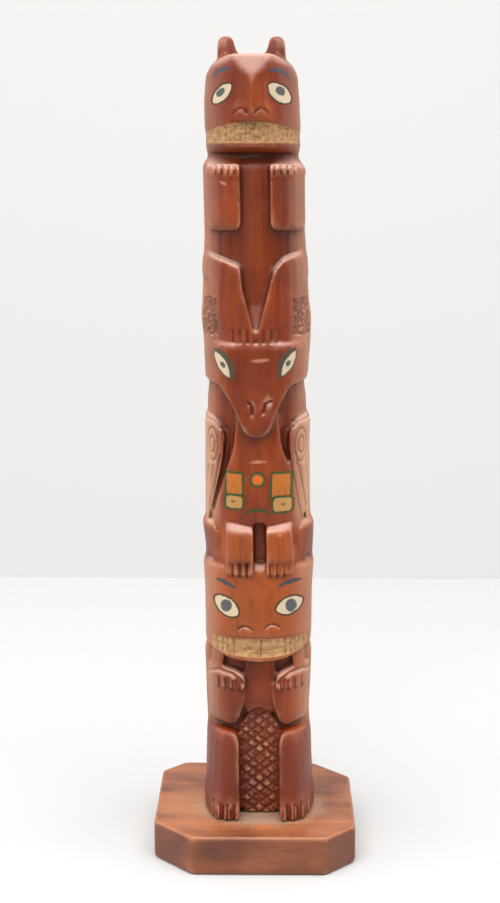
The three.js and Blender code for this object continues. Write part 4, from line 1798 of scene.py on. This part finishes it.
    def _ledge_highlight(self, bench: TreeBench, place: Any) -> Value:
        """Mask of the painted highlight on upward-facing ledges, kept out of hollows and knife
        cuts.
        """
        ledge = bench.above(bench.attribute("ledge"), 0.3, 0.45)
        outside = bench.above(4.2, place["Depth"], 2.5)
        high = bench.above(place["Up"], self.zones.highlight_from, 6.0)
        uncut = bench.inverse(bench.attribute("cut"))
        return bench.product(ledge, place["Front"], outside, high, uncut, 0.55)

    def _teeth(self, bench: TreeBench, place: Any) -> Value:
        """Mask of both rows of teeth.

        Args:
            bench: The material's bench.
            place: Outputs of the place group.

        Returns:
            The mask.
        """
        masks = []
        for band in self.scheme.teeth:
            feeds = {"Across": place["Across"], "Up": place["Up"], **band.sizes()}
            masks.append(self.groups.use(bench, self.groups.band, feeds)["Mask"])
        return bench.product(bench.calc("MAXIMUM", *masks), place["Front"])

    def _tooth_colour(
        self, bench: TreeBench, point: Value, under: Value, teeth: Value, age: Any
    ) -> Value:
        """Lay rough cream paint on the teeth, with painted shade in their creases and cuts.

        Args:
            bench: The material's bench.
            point: Object coordinates.
            under: Colour of the wood.
            teeth: Mask of the teeth.
            age: Outputs of the group of rubbed edges, painted shade and blotches.

        Returns:
            The colour.
        """
        brushed = bench.noise(bench.stretched(point, (0.8, 1.0, 1.0)), 620.0, 4.0, 0.65)
        shade = bench.contrast(brushed, 1.9, -0.35)
        cream = bench.coat(shade, self.paint.tooth_shade, self.paint.tooth)
        # Painted shade in the creases and cuts of the teeth.
        grime = bench.product(age["Grime"], teeth, 0.7)
        return bench.coats(under, [(teeth, cream), (grime, self.stains.grime)])

    def _painted(
        self, bench: TreeBench, under: Value, brush: Feeds, front: Value
    ) -> tuple[Value, Value]:
        """Paint eyes, brows and the belly.

        Args:
            bench: The material's bench.
            under: Colour below the paint.
            brush: Across and Up for the brush.
            front: Mask of the front half.

        Returns:
            The colour and the mask of what is painted.
        """
        groups, paint, scheme = self.groups, self.paint, self.scheme
        layers: list[Layer] = []
        for eye in scheme.eyes:
            masks = groups.use(bench, groups.eye, {**brush, **eye.sizes()})
            layers.append((masks["Outline"], getattr(paint, eye.tint)))
            layers.append((masks["White"], paint.cream))
            layers.append((masks["Iris"], paint.slate))
        for panel in scheme.panels:
            masks = groups.use(bench, groups.panel, {**brush, **panel.sizes()})
            layers.append((bench.product(masks["Fill"], 0.85), getattr(paint, panel.fill)))
            layers.append((masks["Line"], paint.leaf_green))
        strokes = [(stroke, 0.8, paint.brown) for stroke in scheme.belly_strokes]
        strokes.append((scheme.belly_line, 1.0, paint.leaf_green))
        strokes.append((scheme.belly_dot, 1.0, paint.orange))
        strokes += [(stroke, 1.0, paint.brow) for stroke in scheme.brows]
        for stroke, share, tint in strokes:
            mask = groups.use(bench, groups.stroke, {**brush, **stroke.sizes()})["Mask"]
            layers.append((bench.product(mask, share), tint))

        colour, painted = under, 0.0
        for mask, tint in layers:
            shown = bench.product(mask, front, 0.94)
            colour = bench.coat(shown, colour, tint)
            painted = bench.calc("MAXIMUM", painted, shown)
        return colour, painted


class PlinthFinish(WoodFinish):
    """Stained board, rubbed pale on top round the figure's feet, its top face painted lighter than
    its sides as a painted highlight.
    """

    spots = (
        Spot((-24.0, -6.0), (15.0, 24.0), 0, 0.7, 0.6, "light", 0.6),
        Spot((2.0, -8.0), (27.0, 21.0), 0, 0.5, 0.35, "pale", 0.8),
        Spot((3.4, -27.0), (4.4, 3.2), 0, 0.9, 0.6, "orange", 0.6),
    )

    def __init__(self, groups: FinishGroups) -> None:
        """Take the shared groups and this finish's own colours."""
        varnish = Varnish(roughness_spread=(0.42, 0.6), coat=0.15, relief=0.3)
        super().__init__(groups, BoardStains(), varnish)

    def build(self, top: float) -> bpy.types.Material:
        """Build the material.

        Args:
            top: Height of the plinth's top, in millimetres.

        Returns:
            The finished material.
        """
        stains = self.stains
        material, bench, shader, point = self._start("plinth_wood")
        quarter_turn = (0.0, math.radians(90), 0.0)
        turn = bench.put("ShaderNodeMapping", {"Vector": point, "Rotation": quarter_turn})
        feeds = {"Along Point": turn.outputs[0], "Figure": 110.0}
        grain = self.groups.use(bench, self.groups.grain, feeds)
        form = {"Edge": bench.attribute("edge"), "Crease": bench.attribute("crease")}
        age = self.groups.use(bench, self.groups.age, {"Point": point, **form})
        in_mm = bench.stretched(point, [1 / MM] * 3)
        x, y, z = bench.put("ShaderNodeSeparateXYZ", {0: in_mm}).outputs

        blotch = bench.product(age["Blotch"], 0.45)
        tone = bench.calc("ADD", bench.product(grain["Tone"], 0.55), blotch)
        on_top = bench.above(z, top - 1.2, 1.0)
        # The top face takes more of the light stain than the sides: a painted highlight.
        top_highlight = bench.blend(on_top, 0.35, 0.85)
        corners = bench.above(bench.calc("ABSOLUTE", x), 24.5, 3.0)
        corner_face = bench.product(
            corners, bench.above(-14.0, y, 4.0), bench.above(top - 0.6, z, 0.6), 0.55
        )
        layers = [
            (bench.above(tone, 0.15, 0.5), stains.middle),
            (bench.product(bench.above(tone, 0.35, 0.6), top_highlight), stains.light),
            (bench.product(bench.above(0.5, grain["Streak"], 0.3), 0.35), stains.deep),
            (corner_face, stains.deep),
        ]
        colour = bench.coats(stains.deep, layers)
        place = {"Point": point, "Across": x, "Up": y}
        colour = self._lay_spots(bench, colour, place, self.spots, on_top)
        # Edges rubbed pale, which is wear and a painted highlight, and creases darkened with
        # painted shade.
        painted_light = [
            (bench.product(age["Rubbed"], 0.6), stains.light),
            (bench.product(age["Grime"], 0.8), stains.grime),
        ]
        bench.feed(shader["Base Color"], bench.coats(colour, painted_light))
        bench.feed(shader["Roughness"], self._satin(bench, shader, grain))
        shader["Coat Weight"].default_value = self.varnish.coat
        return material


# ---------------------------------------------------------------------------
# Pieces
# ---------------------------------------------------------------------------


@dataclass
class CarvedPole:
    """The stick with all three figures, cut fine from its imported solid."""

    axis: CentreLine
    trees: CarvingTrees
    voxel: float = 0.5
    front_facet: float = math.pi / 14
    back_facet: float = math.pi / 8
    even_passes: int = 3
    wear_passes: int = 16
    crease_wear: float = 0.12
    hollow: float = 0.3
    fineness: float = 130.0
    unevenness: float = 0.6
    triangle_limit: int = 190000
    bear: BearCuts = field(default_factory=BearCuts)
    winged: WingedCuts = field(default_factory=WingedCuts)
    beaver: BeaverCuts = field(default_factory=BeaverCuts)
    rough_angles: Place = (43.0, 78.0)
    rough_heights: Place = (183.5, 197.0)

    def build(self, node: Piece, finish: bpy.types.Material) -> Piece:
        """Cut the pole and dress it.

        Args:
            node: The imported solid.
            finish: Its material.

        Returns:
            The finished piece.
        """
        piece = fine_copy(node, "totem_carving", self.voxel * MM)
        self._round_facets(piece.data)
        wear_down(piece.data, self.even_passes, 1.0)
        wear_down(piece.data, self.wear_passes, self.crease_wear)
        values = {"Hollow": self.hollow * MM, "Fineness": self.fineness, "Finish": finish}
        run_tree(piece, self.trees.hand, values)
        self._punch(piece, finish)
        self._cut(piece, finish)
        complete(piece, finish, self.triangle_limit)
        return piece

    def _round_facets(self, mesh: bpy.types.Mesh) -> None:
        """Push the flat facets out to the round they stand for."""
        points = read_points(mesh)
        local = self.axis.local(points)
        angle = np.arctan2(local[:, 1], local[:, 0])
        step = np.where(local[:, 1] < 0, self.front_facet, self.back_facet)
        off = np.mod(angle + step / 2, step) - step / 2
        swell = np.cos(off) / np.cos(step / 2)
        points[:, 0] += local[:, 0] * (swell - 1) * MM
        points[:, 1] += local[:, 1] * (swell - 1) * MM
        write_points(mesh, points)

    def _punch(self, piece: Piece, finish: bpy.types.Material) -> None:
        """Roughen the ground beside the bear's feet and the bear's teeth.

        Args:
            piece: The pole, changed in place.
            finish: Its material.
        """
        local = self.axis.local(read_points(piece.data))
        angle = np.degrees(np.arctan2(np.abs(local[:, 0]), -local[:, 1]))
        low, high = self.rough_heights
        first, last = self.rough_angles
        inside = (angle > first) & (angle < last) & (local[:, 2] > low) & (local[:, 2] < high)
        set_patch(piece.data, "rough_ground", inside.astype(float))
        bear = self.bear
        top = bear.teeth_span[1] - bear.teeth_fall * local[:, 0] ** 2
        teeth = (np.abs(local[:, 0]) < bear.teeth_half) & (local[:, 1] < 0)
        teeth &= (local[:, 2] > bear.teeth_span[0]) & (local[:, 2] < top)
        set_patch(piece.data, "rough_teeth", teeth.astype(float))
        for patch, marks, radius, depth in (
            ("rough_ground", 9.0e5, 0.75, 0.45),
            ("rough_teeth", 1.3e6, 0.55, 0.3),
        ):
            sizes = {"Marks": marks, "Radius": radius * MM, "Depth": depth * MM}
            run_tree(piece, self.trees.punch, {"Patch": patch, **sizes, "Finish": finish})

    def _cut(self, piece: Piece, finish: bpy.types.Material) -> None:
        """Run the knife along every guide line.

        Args:
            piece: The pole, changed in place.
            finish: Its material.
        """
        survey = Surveyor(piece, self.axis)
        work = (
            (Blade.CLAW, [self.bear.claws, self.winged.claws, self.beaver.claws]),
            (Blade.NOTCH, [self.bear.toes]),
            (Blade.SHELF, [self.winged.wing_edges, self.beaver.paw_tops]),
            (Blade.HATCH, [self.beaver.hatching]),
            (Blade.TOOTH, [self.beaver.teeth]),
            (Blade.GUM, [self.beaver.bite]),
            (Blade.NOSTRIL, [self.bear.noses, self.beaver.noses]),
            (Blade.SNOUT, [self.winged.noses]),
            (Blade.FEATHER, [self.winged.wings]),
            (Blade.SCRATCH, [self.bear.teeth]),
        )
        for blade, makers in work:
            paths = [path for maker in makers for path in maker(survey)]
            guides = survey.guides(f"guides_{blade.name.lower()}", paths)
            half, depth = blade.value
            sizes = {"Half Width": half * MM, "Depth": depth * MM, "Unevenness": self.unevenness}
            run_tree(piece, self.trees.knife, {"Guides": guides, **sizes, "Finish": finish})
            bpy.data.objects.remove(guides)


@dataclass
class Plinth:
    """The board that the pole stands on."""

    trees: CarvingTrees
    voxel: float = 0.6
    wear_passes: int = 8
    crease_wear: float = 0.4
    hollow: float = 0.18
    fineness: float = 70.0
    triangle_limit: int = 90000

    def build(self, node: Piece, finish: bpy.types.Material) -> Piece:
        """Cut the plinth and dress it.

        Args:
            node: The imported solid.
            finish: Its material.

        Returns:
            The finished piece.
        """
        piece = fine_copy(node, "plinth_board", self.voxel * MM)
        wear_down(piece.data, self.wear_passes, self.crease_wear)
        values = {"Hollow": self.hollow * MM, "Fineness": self.fineness, "Finish": finish}
        run_tree(piece, self.trees.hand, values)
        complete(piece, finish, self.triangle_limit)
        return piece


@dataclass
class Studio:
    """Pale table, pale wall and soft light."""

    table_front: float = -0.46
    table_back: float = 0.37
    table_half: float = 1.5
    wall_back: float = 1.5
    wall_low: float = -1.2
    wall_high: float = 2.4
    wall_half: float = 3.0

    def build(self) -> None:
        """Put up the table, the wall and the lights."""
        table, wall = self.table_half, self.wall_half
        front, back = (self.table_front, 0.0), (self.table_back, 0.0)
        self._sheet("table_top", table, front, back, stain(180, 180, 180))
        low, high = (self.wall_back, self.wall_low), (self.wall_back, self.wall_high)
        self._sheet("wall", wall, low, high, stain(156, 155, 153), 0.55)
        self._lights()
        self._world()

    @staticmethod
    def _sheet(
        name: str, half: float, first: Place, last: Place, colour: Colour, glow: float = 0.0
    ) -> None:
        """Make one flat stage sheet.

        Args:
            name: Its name.
            half: Half its width in metres.
            first: Depth and height of one edge.
            last: Depth and height of the opposite edge.
            colour: Its colour.
            glow: How far it is lit from behind.
        """
        mesh = bpy.data.meshes.new(name)
        corners = [(-half, *first), (half, *first), (half, *last), (-half, *last)]
        mesh.from_pydata(corners, [], [(0, 1, 2, 3)])
        sheet = bpy.data.objects.new(name, mesh)
        bpy.context.scene.collection.objects.link(sheet)
        material = bpy.data.materials.new(name)
        material.use_nodes = True
        shader = material.node_tree.nodes["Principled BSDF"]
        shader.inputs["Base Color"].default_value = colour
        shader.inputs["Roughness"].default_value = 0.9
        shader.inputs["Specular IOR Level"].default_value = 0.1
        shader.inputs["Emission Color"].default_value = (1.0, 0.99, 0.98, 1.0)
        shader.inputs["Emission Strength"].default_value = glow
        mesh.materials.append(material)

    @staticmethod
    def _lights() -> None:
        """Hang the soft boxes: (name, place, size, watts, colour)."""
        boxes = (
            ("overhead", (0.0, -0.35, 1.3), (1.7, 1.0), 28.5, (1.0, 0.985, 0.97)),
            ("front_high", (-0.4, -1.9, 1.1), (1.2, 0.8), 17.5, (1.0, 0.98, 0.96)),
            ("left_side", (-1.25, 0.15, 0.45), (1.0, 1.1), 6.8, (1.0, 0.98, 0.96)),
            ("right_side", (1.25, 0.15, 0.45), (1.0, 1.1), 6.2, (1.0, 0.98, 0.96)),
            ("wall_wash", (0.0, -0.6, 1.8), (3.0, 0.6), 15.0, (1.0, 1.0, 1.0)),
        )
        for name, place, size, power, colour in boxes:
            lamp = bpy.data.lights.new(name, "AREA")
            lamp.shape = "RECTANGLE"
            lamp.size, lamp.size_y = size
            lamp.energy = power
            lamp.color = colour
            box = bpy.data.objects.new(name, lamp)
            box.location = place
            aim = Vector((0.0, 1.5, 0.5)) if name == "wall_wash" else Vector((0.0, 0.0, 0.14))
            box.rotation_euler = (aim - Vector(place)).to_track_quat("-Z", "Y").to_euler()
            bpy.context.scene.collection.objects.link(box)

    @staticmethod
    def _world() -> None:
        """Fill the room with a dim, even light."""
        world = bpy.data.worlds.new("room")
        world.use_nodes = True
        bench = TreeBench(world.node_tree)
        background = world.node_tree.nodes["Background"]
        background.inputs["Color"].default_value = (0.96, 0.98, 1.0, 1.0)
        way = bench.put("ShaderNodeTexCoord").outputs["Generated"]
        ahead = bench.put("ShaderNodeSeparateXYZ", {0: way}).outputs[1]
        lit = bench.blend(bench.above(ahead, -0.75, 0.6), 0.1, 0.76)
        seen = bench.put("ShaderNodeLightPath").outputs["Is Camera Ray"]
        bench.feed(background.inputs["Strength"], bench.blend(seen, lit, 0.84))
        scene = bpy.context.scene
        scene.world = world
        scene.view_settings.view_transform = "Standard"


@dataclass
class Viewpoint:
    """Camera in front of the pole, a little above its head."""

    place: tuple[float, float, float] = (5.47, -573.4, 265.1)
    look: tuple[float, float, float] = (-0.0128, 0.9813, -0.1918)
    lens: float = 62.2

    def build(self) -> None:
        """Set the camera up."""
        camera = bpy.data.cameras.new("viewpoint")
        camera.lens = self.lens
        camera.sensor_width = 36.0
        holder = bpy.data.objects.new("viewpoint", camera)
        holder.location = Vector(self.place) * MM
        holder.rotation_euler = Vector(self.look).to_track_quat("-Z", "Y").to_euler()
        bpy.context.scene.collection.objects.link(holder)
        bpy.context.scene.camera = holder


def main() -> None:
    """Build the totem pole, piece by piece."""
    logging.basicConfig(level=logging.INFO, format="%(message)s")
    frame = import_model()
    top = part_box("plinth")[1][2] / MM
    axis = CentreLine(foot=top)
    trees = CarvingTrees()
    groups = FinishGroups(axis)

    nodes = frame["nodes"]
    pole = CarvedPole(axis, trees).build(nodes["carved_pole"], CarvedWoodFinish(groups).build())
    plinth = Plinth(trees).build(nodes["plinth"], PlinthFinish(groups).build(top))
    for piece, node, slot in (
        (pole, "carved_pole", "carved_wood"),
        (plinth, "plinth", "plinth_wood"),
    ):
        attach(piece, "root")
        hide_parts(node)
        LOG.info("%s: %d faces", piece.name, len(piece.data.polygons))

    Studio().build()
    Viewpoint().build()


if __name__ == "__main__":
    main()
